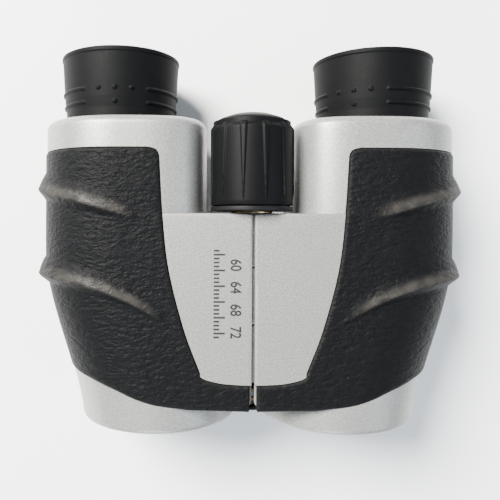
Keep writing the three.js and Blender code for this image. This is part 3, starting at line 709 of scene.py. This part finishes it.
def eyecup_solid(turn_degrees):
    wall = EYECUP_R - 0.55
    corners = [
        (13.3, EYECUP_BASE_Y, 0.1), (wall - 0.85, EYECUP_BASE_Y, 0.35), (wall - 0.7, 33.2, 0),
        (wall - 0.35, 36, 0),
        (wall, 41.2, 0), (wall + 0.35, EYECUP_RIM_Y - 1.6, 0.3), (EYECUP_R, EYECUP_RIM_Y - 1.3, 0.3),
        (EYECUP_R + 0.02, EYECUP_RIM_Y - 0.4, 0.4), (15.75, EYECUP_RIM_Y, 0.35),
        (14.95, EYECUP_RIM_Y - 0.1, 0.3), (14.7, 43.4, 0.5), (13, 42.2, 0.5), (11, 42, 0.3), (11, 41.3, 0.1),
        (13.3, 41.3, 0.1),
    ]
    profile = dense_profile(rounded(corners), 0.11, 29, 41)
    turn = math.radians(turn_degrees)

    def marks(angle, y, r):
        away = np.degrees(np.abs((angle - turn + math.pi) % (2 * math.pi) - math.pi))
        signed = (angle - turn + math.pi) % (2 * math.pi) - math.pi
        lift = np.zeros_like(r)
        for row in (38.2, 34.6):
            ends = ease((away - 30) / 3)
            lift = np.maximum(lift, 0.4 * ends * ease(1.3 - np.abs(y - row) / 0.5))
        for row, places in ((38.2, (-16, 0, 16)), (34.6, (0,))):
            for place in places:
                off = np.hypot((signed - math.radians(place)) * r, y - row)
                lift = np.maximum(lift, 0.36 * ease(1.5 - off / 0.5))
        return np.where(r > 15, lift, 0)

    return turned(profile, EYE_X, EYE_Z, 640, marks)


RIBS = 12
RIB_FROM_TOP = 14


def grip_solid():
    rise = bpy.context.scene.binocular_sizes.rib_height / MM
    base = KNOB_R - rise
    rear = KNOB_REAR_Y
    corners = [
        (base - 0.15, 7.2, 0.3), (base, 8.2, 0), (base, 26.3, 0.8), (base - 1.0, 27.9, 1.2), (8.4, 29.2, 1.5),
        (5.2, 30.35, 2), (2.4, rear - 0.15, 1.5), (0, rear, 0),
    ]
    corners = [(0, 28.4, 0), (9.9, 28.4, 0), (9.9, 7.2, 0)] + corners
    outline = rounded(corners, closed=False)
    profile = []
    for (r0, y0), (r1, y1) in zip(outline[:-1], outline[1:]):
        steps = max(1, int(abs(y1 - y0) / 0.3)) if min(r0, r1) > base - 2 and y1 > y0 else 1
        profile += [(r0 + (r1 - r0) * k / steps, y0 + (y1 - y0) * k / steps) for k in range(steps)]
    profile.append(outline[-1])

    def ribs(angle, y, r):
        pitch = 2 * math.pi / RIBS
        off = (angle - math.radians(RIB_FROM_TOP) + pitch / 2) % pitch - pitch / 2
        half = 0.12 + 0.95 * np.clip((y - 8.4) / 19, 0, 1)
        shape = ease(1.7 * (1 - np.abs(off * r) / half))
        ends = ease((y - 8.2) / 2.5) * ease((28.1 - y) / 0.9)
        return np.where(r > base - 1.2, rise * shape * ends, 0)

    return turned(profile, 0, HINGE_Z, 720, ribs)


# ---------- lenses and turned pieces ----------
def arm_window():
    """Where the focus arm enters the objective cell."""
    turn = Matrix.Rotation(math.atan2(HINGE_Z - OBJECTIVE_Z, OBJECTIVE_X), 4, "Y")
    reach = math.hypot(OBJECTIVE_X, HINGE_Z - OBJECTIVE_Z) - 14
    slot = slab([(4, -2.8), (reach, -2.8), (reach, 2.8), (4, 2.8)], -40.7, -38.9)
    slot.data.transform(Matrix.Translation((0, 0, HINGE_Z)) @ turn)
    return slot


def lens_profile(radius, front, rear, front_bulge, rear_bulge):
    t = np.linspace(0, 1, 20)
    face = [(radius * k, front - front_bulge * (1 - k * k)) for k in t]
    back = [(radius * k, rear + rear_bulge * (1 - k * k)) for k in t[::-1]]
    return face[:-1] + [(radius - 0.02, front), (radius, front + 0.15), (radius, rear - 0.15),
        (radius - 0.02, rear)] + back[1:]


def eyepiece_wall(bore, threads=True):
    """Outside of an eyepiece tube: a bayonet flange behind the housing wall and turned grooves above it."""
    wall = [(bore, 17.5, 0.1), (13, 17.5, 0.25), (13, 25.2, 0), (14.5, 25.2, 0.15), (14.5, 27, 0.15),
        (13, 27, 0)]
    for y in (30.4, 31.6, 32.8) if threads else ():
        wall += [(13, y, 0), (12.8, y + 0.15, 0), (12.8, y + 0.45, 0), (13, y + 0.6, 0)]
    return wall + [(13, 41, 0.25), (12 if bore > 11 else 10.6, 41, 0.2)]


LENS_SEAT = [(10.6, 35.4, 0), (9, 35.4, 0), (9, 23.2, 0), (9.8, 23.2, 0), (9.8, 17.5, 0)]


def screwed_ring(inner, outer, front, rear, slots=2):
    """A retaining ring with a stepped face and two notches for a pin wrench."""
    width = (outer - inner)
    body = turned(rounded([(inner, front, 0.08), (outer, front, 0.12), (outer, rear, 0.12),
        (inner + width * 0.4, rear, 0.08), (inner + width * 0.4, rear - 0.3, 0), (inner, rear - 0.3, 0.05)]),
        steps=144)
    for k in range(slots):
        turn = math.pi * 2 * k / slots
        x, z = (inner + width * 0.2) * math.cos(turn), (inner + width * 0.2) * math.sin(turn)
        body = cut(body, rod(width * 0.22, (front + rear) / 2, rear + 1, x, z, 24))
    return body


def moved(obj, x, z):
    obj.data.transform(Matrix.Translation((x, 0, z)))
    return obj


# ---------- looks ----------
class Look:
    """A surface made of procedural layers over a Principled shader, in the object's own millimetres."""

    def __init__(self, name):
        self.material = bpy.data.materials.new(name)
        self.material.use_nodes = True
        self.tree = self.material.node_tree
        self.shader = self.tree.nodes["Principled BSDF"]
        place = self.tree.nodes.new("ShaderNodeTexCoord")
        self.mm = self.vector("SCALE", place.outputs["Object"], scale=1 / MM)

    def node(self, kind, inputs=(), **settings):
        made = self.tree.nodes.new(kind)
        for key, value in settings.items():
            setattr(made, key, value)
        for key, value in dict(inputs).items():
            self.put(made.inputs[key], value)
        return made

    def put(self, socket, value):
        if isinstance(value, bpy.types.NodeSocket):
            self.tree.links.new(value, socket)
        else:
            socket.default_value = value

    def vector(self, operation, a, b=None, scale=None):
        made = self.node("ShaderNodeVectorMath", {0: a}, operation=operation)
        if b is not None:
            self.put(made.inputs[1], b)
        if scale is not None:
            self.put(made.inputs["Scale"], scale)
        return made.outputs[0]

    def math(self, operation, a, b=0.0):
        return self.node("ShaderNodeMath", {0: a, 1: b}, operation=operation).outputs[0]

    def noise(self, scale, detail=3.0, rough=0.5, at=None, warp=0.0):
        made = self.node("ShaderNodeTexNoise",
            {"Vector": at or self.mm, "Scale": scale, "Detail": detail, "Roughness": rough,
            "Distortion": warp})
        return made.outputs["Fac"]

    def cells(self, scale, at=None, feature="F1", spread=1.0):
        made = self.node("ShaderNodeTexVoronoi",
            {"Vector": at or self.mm, "Scale": scale, "Randomness": spread}, feature=feature)
        return made.outputs["Distance"]

    def span(self, value, low, high, to_low=0.0, to_high=1.0):
        made = self.node("ShaderNodeMapRange",
            {"Value": value, "From Min": low, "From Max": high, "To Min": to_low, "To Max": to_high},
            clamp=True)
        return made.outputs["Result"]

    def blend(self, amount, a, b):
        made = self.node("ShaderNodeMix", data_type="RGBA")
        colour = [s for s in made.inputs if s.type == "RGBA"]
        self.put(made.inputs["Factor"], amount)
        for socket, value in zip(colour, (a, b)):
            self.put(socket, value if isinstance(value, bpy.types.NodeSocket) else (*value, 1))
        return next(s for s in made.outputs if s.type == "RGBA")

    def attribute(self, name, output="Fac"):
        return self.node("ShaderNodeAttribute", attribute_name=name).outputs[output]

    def bump(self, height, distance_mm, strength=1.0, under=None):
        made = self.node("ShaderNodeBump",
            {"Height": height, "Distance": distance_mm * MM, "Strength": strength})
        if under is not None:
            self.put(made.inputs["Normal"], under)
        return made.outputs["Normal"]

    def finish(self, **sockets):
        for key, value in sockets.items():
            self.put(self.shader.inputs[key.replace("_", " ")], value)
        return self.material


def shade(colour, factor):
    return tuple(min(1, c * factor) for c in colour)


def silver_paint(colours):
    look = Look("silver paint")
    grit, fine, broad = look.noise(2.6, 2), look.cells(5.5), look.noise(0.05, 2)
    speck = look.span(look.noise(2.8, 2), 0.34, 0.66)
    colour = look.blend(speck, shade(colours.silver, 0.74), shade(colours.silver, 1.24))
    colour = look.blend(look.span(broad, 0.35, 0.7, 0, 0.3), colour, shade(colours.silver, 0.93))
    normal = look.bump(grit, 0.02, 0.7, look.bump(fine, 0.012, 0.5))
    return look.finish(
        Base_Color=colour, Metallic=0.45, Roughness=look.span(grit, 0.3, 0.7, 0.36, 0.5), Normal=normal,
        Specular_IOR_Level=0.5, Coat_Weight=0.12, Coat_Roughness=0.3)


def armour_rubber(colours):
    look = Look("armour rubber")
    at = look.vector("SCALE", look.attribute("laid_flat", "Vector"), scale=1 / MM)
    sway = look.vector("SCALE",
        look.node("ShaderNodeTexNoise", {"Vector": at, "Scale": 0.55, "Detail": 2.0}).outputs["Color"],
        scale=1.6)
    swayed = look.vector("ADD", at, sway)
    stretched = look.vector("MULTIPLY", swayed, (0.58, 1.5, 1))
    creases = look.cells(0.85, stretched, "SMOOTH_F1")
    small = look.cells(2.2, look.vector("MULTIPLY", swayed, (0.7, 1.2, 1)))
    fine = look.noise(4.5, 3)
    # Wear on the ridges plus a painted highlight on their rear facets, which face the key light.
    worn = look.math("MULTIPLY", look.attribute("worn"), look.span(look.noise(0.35, 3), 0.3, 0.62, 0.35, 1))
    hide = look.math("SUBTRACT", 1.0, look.math("MULTIPLY", worn, 0.4))
    grain = look.math("ADD", look.math("MULTIPLY", creases, 1.0), look.math("MULTIPLY", small, 0.3))
    normal = look.bump(grain, colours.grain_depth / MM, look.math("MULTIPLY", hide, 1.0))
    normal = look.bump(fine, 0.03, 0.5, normal)
    colour = look.blend(look.span(grain, 0.2, 0.8), shade(colours.rubber, 0.85), shade(colours.rubber, 1.2))
    # Painted highlight and wear: the ridges' rear facets, lit by the key light, are lightened toward the worn
    # colour.
    colour = look.blend(look.math("MULTIPLY", worn, 0.75), colour, colours.worn)
    # The armour's edge, within 0.9 mm of it, is lightened a little toward the same colour.
    colour = look.blend(look.math("MULTIPLY", look.attribute("rim"), 0.15), colour, colours.worn)
    rough = look.math("SUBTRACT", look.span(fine, 0.3, 0.7, 0.48, 0.62), look.math("MULTIPLY", worn, 0.22))
    return look.finish(Base_Color=colour, Roughness=rough, Normal=normal, Specular_IOR_Level=0.06,
        Sheen_Weight=0.005)


def moulded_rubber(name, colour, colours, scale, low, high):
    look = Look(name)
    stipple, dust, broad = look.noise(scale, 4, 0.6), look.noise(0.3, 5, 0.65), look.noise(0.09, 2)
    tone = look.blend(look.span(dust, 0.42, 0.75, 0, 0.5), colour, shade(colour, 1.6))
    tone = look.blend(look.span(broad, 0.3, 0.7, 0, 0.35), tone, shade(colour, 0.7))
    normal = look.bump(stipple, 0.03, 0.6, look.bump(look.cells(scale * 0.7), 0.015, 0.4))
    return look.finish(Base_Color=tone, Roughness=look.span(stipple, 0.3, 0.7, low, high), Normal=normal,
        Specular_IOR_Level=0.06, Sheen_Weight=0.005)


def black_plastic(colours):
    look = Look("matt black plastic")
    pits, swirl = look.cells(3.2), look.noise(0.2, 4)
    tone = look.blend(look.span(swirl, 0.35, 0.7), shade(colours.plastic, 0.8), shade(colours.plastic, 1.3))
    normal = look.bump(pits, 0.015, 0.5, look.bump(look.noise(5, 2), 0.01, 0.4))
    return look.finish(Base_Color=tone, Roughness=look.span(pits, 0.1, 0.6, 0.4, 0.55), Normal=normal,
        Specular_IOR_Level=0.12)


def glass(name, tint, film, ior):
    look = Look(name)
    haze, dust = look.noise(0.25, 3), look.noise(1.8, 3)
    colour = look.blend(look.span(haze, 0.3, 0.7, 0, 0.4), tint, shade(tint, 0.93))
    thick = look.span(haze, 0.3, 0.7, film * 0.95, film * 1.05)
    return look.finish(
        Base_Color=colour, Roughness=look.span(dust, 0.5, 0.8, 0.0, 0.03), Transmission_Weight=1.0, IOR=ior,
        Thin_Film_Thickness=thick, Thin_Film_IOR=1.38, Normal=look.bump(haze, 0.004, 0.3))


def machined(name, tone, around):
    """Bare metal with tool marks running round the hinge axis or along it."""
    look = Look(name)
    stretch = (2.5, 14, 2.5) if around else (9, 0.5, 9)
    marks = look.noise(1.0, 4, at=look.vector("MULTIPLY", look.mm, stretch))
    stain = look.noise(0.4, 4)
    colour = look.blend(look.span(stain, 0.4, 0.75, 0, 0.4), tone, shade(tone, 0.68))
    return look.finish(
        Base_Color=colour, Metallic=1.0, Roughness=look.span(marks, 0.3, 0.7, 0.22, 0.4), Anisotropic=0.4,
        Normal=look.bump(marks, 0.008, 0.5))


def scale_ink(colours):
    look = Look("scale ink")
    worn, fine = look.noise(2.2, 4, 0.6), look.noise(6, 2)
    tone = look.blend(look.span(worn, 0.5, 0.72, 0, 0.45), colours.ink, shade(colours.ink, 3))
    return look.finish(Base_Color=tone, Roughness=look.span(fine, 0.3, 0.7, 0.4, 0.6),
        Normal=look.bump(fine, 0.004, 0.5), Specular_IOR_Level=0.4)


LOOKS = {}


def look(name):
    """The material for a slot, made when first asked for."""
    if name not in LOOKS:
        colours = bpy.context.scene.binocular_finish
        recipes = {
            "silver_shell": lambda: silver_paint(colours),
            "armour_rubber": lambda: armour_rubber(colours),
            "eyecup_rubber": lambda: moulded_rubber("eyecup rubber", colours.eyecup, colours, 3.0, 0.5, 0.66),
            "knob_rubber": lambda: moulded_rubber("knob rubber", colours.knob, colours, 3.6, 0.4, 0.56),
            "black_plastic": lambda: black_plastic(colours),
            "coated_glass": lambda: glass("coated glass", (0.93, 0.97, 0.96), 320, 1.52),
            "prism_glass": lambda: glass("prism glass", (0.96, 0.98, 0.96), 0, 1.57),
            "steel": lambda: machined("brushed steel", (0.58, 0.58, 0.57), False),
            "brass": lambda: machined("turned brass", (0.72, 0.52, 0.24), True),
            "scale_ink": lambda: scale_ink(colours),
        }
        LOOKS[name] = recipes[name]()
    return LOOKS[name]


def piece(solid, name, body, slot, nodes, side=1, sharp=32, finish_name=None):
    return finished(solid, name, side, body, look(finish_name or slot), nodes, sharp)


# ---------- settings ----------
class BinocularSizes(bpy.types.PropertyGroup):
    """Sizes of the finished pieces."""

    armour_proud: FloatProperty(
        name="Armour height", description="How far the armour stands above the painted shell",
        default=0.00035, min=0.0001, max=0.001, precision=5, unit="LENGTH")
    ridge_height: FloatProperty(
        name="Grip ridge height", description="Height of the swept ridges at the outer side",
        default=0.0021, min=0, max=0.003, precision=5, unit="LENGTH")
    rib_height: FloatProperty(
        name="Knob rib height", description="How far the ribs stand out of the focus knob",
        default=0.00032, min=0, max=0.001, precision=5, unit="LENGTH")
    print_height: FloatProperty(
        name="Scale height", description="Height of the printed figures on the deck",
        default=0.0028, min=0.001, max=0.004, precision=5, unit="LENGTH")
    floor_side: FloatProperty(
        name="Floor side", description="Length of each side of the floor", default=4.0, min=0.5,
        unit="LENGTH")


def colour_of(name, description, default):
    return FloatVectorProperty(
        name=name, description=description, default=default, size=3, min=0, max=1, subtype="COLOR")


class BinocularFinish(bpy.types.PropertyGroup):
    """Colours and surface detail of the finished pieces."""

    silver: colour_of("Silver paint", "Colour of the painted shells", (0.225, 0.229, 0.221))
    rubber: colour_of("Armour rubber", "Colour of the rubber armour", (0.0024, 0.0026, 0.003))
    # Colour of the ridges' rear facets: wear plus a painted highlight where they face the key light; it also
    # lightens the armour's edge a little.
    worn: colour_of("Worn and highlighted rubber", "Colour of rubber rubbed smooth on the ridges", (0.034, 0.032, 0.029))
    eyecup: colour_of("Eyecup rubber", "Colour of the eyecups", (0.0022, 0.0024, 0.0027))
    knob: colour_of("Knob rubber", "Colour of the focus knob's grip", (0.0022, 0.0024, 0.0027))
    plastic: colour_of("Black plastic", "Colour of the tubes, cells and bezels", (0.005, 0.005, 0.0054))
    ink: colour_of("Scale ink", "Colour of the printed scale", (0.006, 0.0065, 0.007))
    floor: colour_of("Floor", "Colour of the floor", (0.9, 0.91, 0.92))
    grain_depth: FloatProperty(
        name="Grain depth", description="Depth of the armour's leather-like grain",
        default=0.0003, min=0, max=0.001, precision=5, unit="LENGTH")


# ---------- operators ----------
class BuildPieces(bpy.types.Operator):
    """Base of the operators that build pieces; a piece that can't be built raises its error."""

    bl_options = {"REGISTER", "UNDO"}

    def execute(self, context):
        for side, sign in SIDES.items():
            self.build(side, sign)
        return {"FINISHED"}


class BINOCULARS_OT_shells(BuildPieces):
    """Build the painted housings, with their hinge knuckles, and the front shells"""

    bl_idname = "binoculars.shells"
    bl_label = "Painted shells"

    def build(self, side, sign):
        body = f"{side}_half"
        piece(housing_solid(side), f"{side}_painted_housing", body, "silver_shell", [f"{side}_housing"], sign)
        piece(front_shell_solid(), f"{side}_painted_front_shell", body, "silver_shell",
            [f"{side}_front_shell"], sign)


class BINOCULARS_OT_armour(BuildPieces):
    """Build the rubber armour with its swept grip ridges"""

    bl_idname = "binoculars.armour"
    bl_label = "Rubber armour"

    def build(self, side, sign):
        piece(armour_solid(), f"{side}_ridged_armour", f"{side}_half", "armour_rubber", [f"{side}_armour"],
            sign, 60)


class BINOCULARS_OT_eyecups(BuildPieces):
    """Build the rubber eyecups with their raised dots and bars"""

    bl_idname = "binoculars.eyecups"
    bl_label = "Eyecups"

    def build(self, side, sign):
        turn = {"right": -33, "left": -1.5}[side]
        body = {"right": "dioptre_turn", "left": "left_half"}[side]
        piece(eyecup_solid(turn), f"{side}_marked_eyecup", body, "eyecup_rubber", [f"{side}_eyecup"], sign,
            50)


class BINOCULARS_OT_knob(BuildPieces):
    """Build the ribbed focus knob and its core"""

    bl_idname = "binoculars.knob"
    bl_label = "Focus knob"

    def execute(self, context):
        piece(grip_solid(), "ribbed_knob_grip", "focus_knob", "knob_rubber", ["focus_knob_grip"], sharp=50)
        core = rounded([
            (3.7, 5.85, 0.1), (10.5, 5.85, 0.2), (10.5, 6.9, 0.2), (9.6, 6.9, 0), (9.6, 28.1, 0.3),
            (5.4, 28.1, 0),
            (5.4, 26.8, 0), (8.1, 26.8, 0), (8.1, 7.6, 0), (5.4, 7.6, 0), (5.4, 24, 0), (3.7, 24, 0)])
        tube_core = turned(core, 0, HINGE_Z)
        lid = rod(5.6, 26.85, 28.05, 0, HINGE_Z)
        piece(join(tube_core, lid), "flanged_knob_core", "focus_knob", "black_plastic", ["focus_knob_core"])
        return {"FINISHED"}


class BINOCULARS_OT_eyepieces(BuildPieces):
    """Build the eyepiece tubes, the dioptre barrel and the eyepiece lenses and rings"""

    bl_idname = "binoculars.eyepieces"
    bl_label = "Eyepieces"

    def build(self, side, sign):
        fixed = side == "left"
        inner = "left_half" if fixed else "right_eyepiece"
        if fixed:
            tube = turned(rounded(eyepiece_wall(9.8) + LENS_SEAT[:-1]), EYE_X, EYE_Z)
            piece(tube, "left_grooved_tube", "left_half", "black_plastic", ["left_eyepiece_tube"], sign)
        else:
            sleeve = turned(rounded(eyepiece_wall(12) ), EYE_X, EYE_Z)
            piece(sleeve, "right_grooved_sleeve", "dioptre_turn", "black_plastic", ["right_dioptre_sleeve"],
                sign)
            wall = [(9.8, 18.4, 0.1), (11.7, 18.4, 0.2), (11.7, 40, 0.25), (10.6, 40, 0.2)] + LENS_SEAT[:-1]
            piece(turned(rounded(wall), EYE_X, EYE_Z), "right_lens_barrel", inner, "black_plastic",
                ["right_eyepiece_barrel"], sign)
        eye = turned(lens_profile(10.3, 36.4, 38.2, 0.7, 0.9), EYE_X, EYE_Z)
        piece(eye, f"{side}_polished_eye_lens", inner, "coated_glass", [f"{side}_eye_lens"], sign)
        field = turned(lens_profile(9.5, 19.6, 22.2, 0.9, 0.3), EYE_X, EYE_Z)
        piece(field, f"{side}_polished_field_lens", inner, "coated_glass", [f"{side}_field_lens"], sign)
        ring = moved(screwed_ring(9.4, 10.3, 38.5, 39.6), EYE_X, EYE_Z)
        piece(ring, f"{side}_notched_eye_ring", inner, "black_plastic", [f"{side}_eye_lens_ring"], sign)


class BINOCULARS_OT_objectives(BuildPieces):
    """Build the objective lenses with their cells, rings and bezels"""

    bl_idname = "binoculars.objectives"
    bl_label = "Objectives"

    def build(self, side, sign):
        body = f"{side}_objective"
        cell = turned(rounded([
            (13.2, -46.3, 0.1), (15.4, -46.3, 0.3), (15.4, -36.5, 0.2), (12.3, -36.5, 0.1), (12.3, -40, 0),
            (13.2, -40, 0)]),
            OBJECTIVE_X, OBJECTIVE_Z)
        piece(cut(cell, arm_window()), f"{side}_lens_cell", body, "black_plastic", [f"{side}_objective_cell"],
            sign)
        glass_piece = turned(lens_profile(12.9, -44.6, -40.6, 1.4, 0.6), OBJECTIVE_X, OBJECTIVE_Z)
        piece(glass_piece, f"{side}_polished_objective", body, "coated_glass", [f"{side}_objective_lens"],
            sign)
        ring = turned(tube_profile(12.2, 12.9, -45.9, -44.9, 0.12), OBJECTIVE_X, OBJECTIVE_Z)
        piece(ring, f"{side}_lens_retaining_ring", body, "black_plastic", [f"{side}_objective_ring"], sign)
        bezel = turned(rounded([
            (13.6, -49, 0.1), (14, -49, 0.1), (15.6, -48.35, 0.1), (16.2, -49, 0.15), (17.3, -49, 0.3),
            (17.3, -48, 0.1), (13.6, -48, 0.1)]),
            OBJECTIVE_X, OBJECTIVE_Z)
        piece(bezel, f"{side}_stepped_bezel", f"{side}_half", "black_plastic", [f"{side}_objective_bezel"],
            sign)


class BINOCULARS_OT_hinge(BuildPieces):
    """Build the hinge cap and the thrust washer under the focus knob"""

    bl_idname = "binoculars.hinge"
    bl_label = "Hinge ends"

    def execute(self, context):
        cap = turned(rounded([(0, -43.7, 0), (1.4, -43.7, 0.1), (1.9, -43.45, 0.1), (3.4, -43.45, 0.1),
            (4.9, -43.7, 0.2), (4.9, -42.9, 0.1), (0, -42.9, 0)], closed=False), 0, HINGE_Z)
        piece(cap, "turned_front_cap", "hinge_core", "black_plastic", ["hinge_front_cap"])
        washer = turned(tube_profile(3.7, 5.3, 5.3, 5.7, 0.08), 0, HINGE_Z)
        piece(washer, "polished_thrust_washer", "hinge_core", "brass", ["thrust_washer"])
        return {"FINISHED"}


class BINOCULARS_OT_deck_scale(BuildPieces):
    """Print the scale on the deck: a row of ticks and a row of plain numbers"""

    bl_idname = "binoculars.deck_scale"
    bl_label = "Deck scale"

    def execute(self, context):
        height = context.scene.binocular_sizes.print_height / MM
        points, faces = [], []
        first, last, count = -4.0, -25.2, 23
        for k in range(count):
            y = first + (last - first) * k / (count - 1)
            x = -9.8
            reach = height if k % 4 == 1 else height * 0.5
            a, b = 0.23, len(points)
            corners = [(x, y - a), (x + reach, y - a), (x + reach, y + a), (x, y + a)]
            points += [(px, py, pz) for pz in (DECK_Z + 0.005, DECK_Z + 0.03) for px, py in corners]
            faces += [(b + 3, b + 2, b + 1, b), (b + 4, b + 5, b + 6, b + 7)]
            faces += [(b + i, b + (i + 1) % 4, b + 4 + (i + 1) % 4, b + 4 + i) for i in range(4)]
        ticks = draft(points, faces)
        piece(ticks, "scale_ticks", "left_half", "black_plastic", [], finish_name="scale_ink")
        curve = bpy.data.curves.new("numbers", "FONT")
        curve.body = "60   64   68   72"
        curve.size, curve.bevel_depth, curve.bevel_resolution = height * 1.33, 0.08, 1
        curve.align_x, curve.align_y = "LEFT", "BOTTOM_BASELINE"
        draft_text = bpy.data.objects.new("numbers", curve)
        context.scene.collection.objects.link(draft_text)
        shape = bpy.data.meshes.new_from_object(draft_text.evaluated_get(context.evaluated_depsgraph_get()))
        bpy.data.objects.remove(draft_text)
        shape.transform(Matrix.Scale(0.2, 4, (0, 0, 1)))
        xs = [v.co.x for v in shape.vertices]
        shape.transform(Matrix.Scale((25.4 - 6.0) / (max(xs) - min(xs)), 4, (1, 0, 0)))
        on_deck = Matrix.Translation((-5.6, -6.0, DECK_Z + 0.017))
        shape.transform(on_deck @ Matrix.Rotation(-math.pi / 2, 4, "Z"))
        numbers = bpy.data.objects.new("numbers", shape)
        context.scene.collection.objects.link(numbers)
        clean(shape)
        piece(numbers, "scale_numbers", "left_half", "black_plastic", [], finish_name="scale_ink")
        return {"FINISHED"}


class BINOCULARS_OT_inner_finishes(BuildPieces):
    """Give the inner pieces of the frame their finishes"""

    bl_idname = "binoculars.inner_finishes"
    bl_label = "Inner finishes"

    def execute(self, context):
        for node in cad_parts.values():
            for place in node.material_slots:
                if place.material.name.split(".")[0] in frame_slots():
                    place.material = look(place.material.name.split(".")[0])
        return {"FINISHED"}


def frame_slots():
    return ("silver_shell", "armour_rubber", "eyecup_rubber", "knob_rubber", "black_plastic", "coated_glass",
        "prism_glass", "steel", "brass")


class BINOCULARS_OT_studio(bpy.types.Operator):
    """Set up the floor, the soft light and the camera"""

    bl_idname = "binoculars.studio"
    bl_label = "Floor, light and camera"
    bl_options = {"REGISTER", "UNDO"}

    def execute(self, context):
        scene = context.scene
        half = scene.binocular_sizes.floor_side / 2
        mesh = mesh_from([(-half, -half, 0), (half, -half, 0), (half, half, 0), (-half, half, 0)],
            [(0, 1, 2, 3)], "floor")
        floor = bpy.data.objects.new("floor", mesh)
        surface = Look("pale floor")
        mottle = surface.noise(0.02, 3)
        tone = surface.blend(surface.span(mottle, 0.3, 0.7), shade(scene.binocular_finish.floor, 0.99),
            scene.binocular_finish.floor)
        mesh.materials.append(surface.finish(Base_Color=tone, Roughness=0.8, Specular_IOR_Level=0.2))
        scene.collection.objects.link(floor)
        lamps = (
            ("key", (-0.42, 0.38, 0.62), 0.42, 50.0, (1.0, 0.975, 0.93)),
            ("fill", (0.7, -0.1, 0.55), 0.6, 5.0, (0.72, 0.86, 1.0)),
            ("front", (-0.1, -0.7, 0.5), 0.5, 8.0, (0.9, 0.95, 1.0)),
        )
        for name, place, size, power, colour in lamps:
            data = bpy.data.lights.new(name, "AREA")
            data.shape, data.size, data.energy, data.color = "DISK", size, power, colour
            lamp = bpy.data.objects.new(name, data)
            lamp.location = place
            lamp.rotation_euler = (-Vector(place)).to_track_quat("-Z", "Y").to_euler()
            scene.collection.objects.link(lamp)
        scene.world = scene.world or bpy.data.worlds.new("studio")
        scene.world.use_nodes = True
        sky = next(n for n in scene.world.node_tree.nodes if n.type == "BACKGROUND")
        sky.inputs["Color"].default_value = (0.93, 0.96, 1.0, 1)
        sky.inputs["Strength"].default_value = 0.22
        view = bpy.data.cameras.new("camera")
        view.sensor_width, view.lens = 36, 40.9
        view.shift_x, view.shift_y = 0.10, -0.052
        view.clip_start = 0.005
        camera = bpy.data.objects.new("camera", view)
        camera.location = Vector((-13.2, 2.5, 181.3)) * MM
        camera.rotation_euler = (0, 0, math.radians(0.3))
        scene.collection.objects.link(camera)
        scene.camera = camera
        return {"FINISHED"}


class BINOCULARS_PT_panel(bpy.types.Panel):
    """The settings and the operators, in building order"""

    bl_idname = "BINOCULARS_PT_panel"
    bl_label = "Compact Binoculars"
    bl_space_type = "VIEW_3D"
    bl_region_type = "UI"
    bl_category = "Binoculars"

    def draw(self, context):
        for settings in (context.scene.binocular_sizes, context.scene.binocular_finish):
            box = self.layout.box()
            for name in settings.__annotations__:
                box.prop(settings, name)
        for operator in OPERATORS:
            self.layout.operator(operator.bl_idname)


OPERATORS = (
    BINOCULARS_OT_inner_finishes,
    BINOCULARS_OT_shells,
    BINOCULARS_OT_armour,
    BINOCULARS_OT_eyecups,
    BINOCULARS_OT_knob,
    BINOCULARS_OT_eyepieces,
    BINOCULARS_OT_objectives,
    BINOCULARS_OT_hinge,
    BINOCULARS_OT_deck_scale,
    BINOCULARS_OT_studio,
)
CLASSES = (BinocularSizes, BinocularFinish, *OPERATORS, BINOCULARS_PT_panel)


def register():
    for cls in CLASSES:
        bpy.utils.register_class(cls)
    bpy.types.Scene.binocular_sizes = PointerProperty(type=BinocularSizes)
    bpy.types.Scene.binocular_finish = PointerProperty(type=BinocularFinish)


def unregister():
    del bpy.types.Scene.binocular_finish
    del bpy.types.Scene.binocular_sizes
    for cls in reversed(CLASSES):
        bpy.utils.unregister_class(cls)


def main():
    """Builds every piece in order."""
    register()
    for operator in OPERATORS:
        group, name = operator.bl_idname.split(".")
        getattr(getattr(bpy.ops, group), name)()
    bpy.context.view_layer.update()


if __name__ == "__main__":
    main()
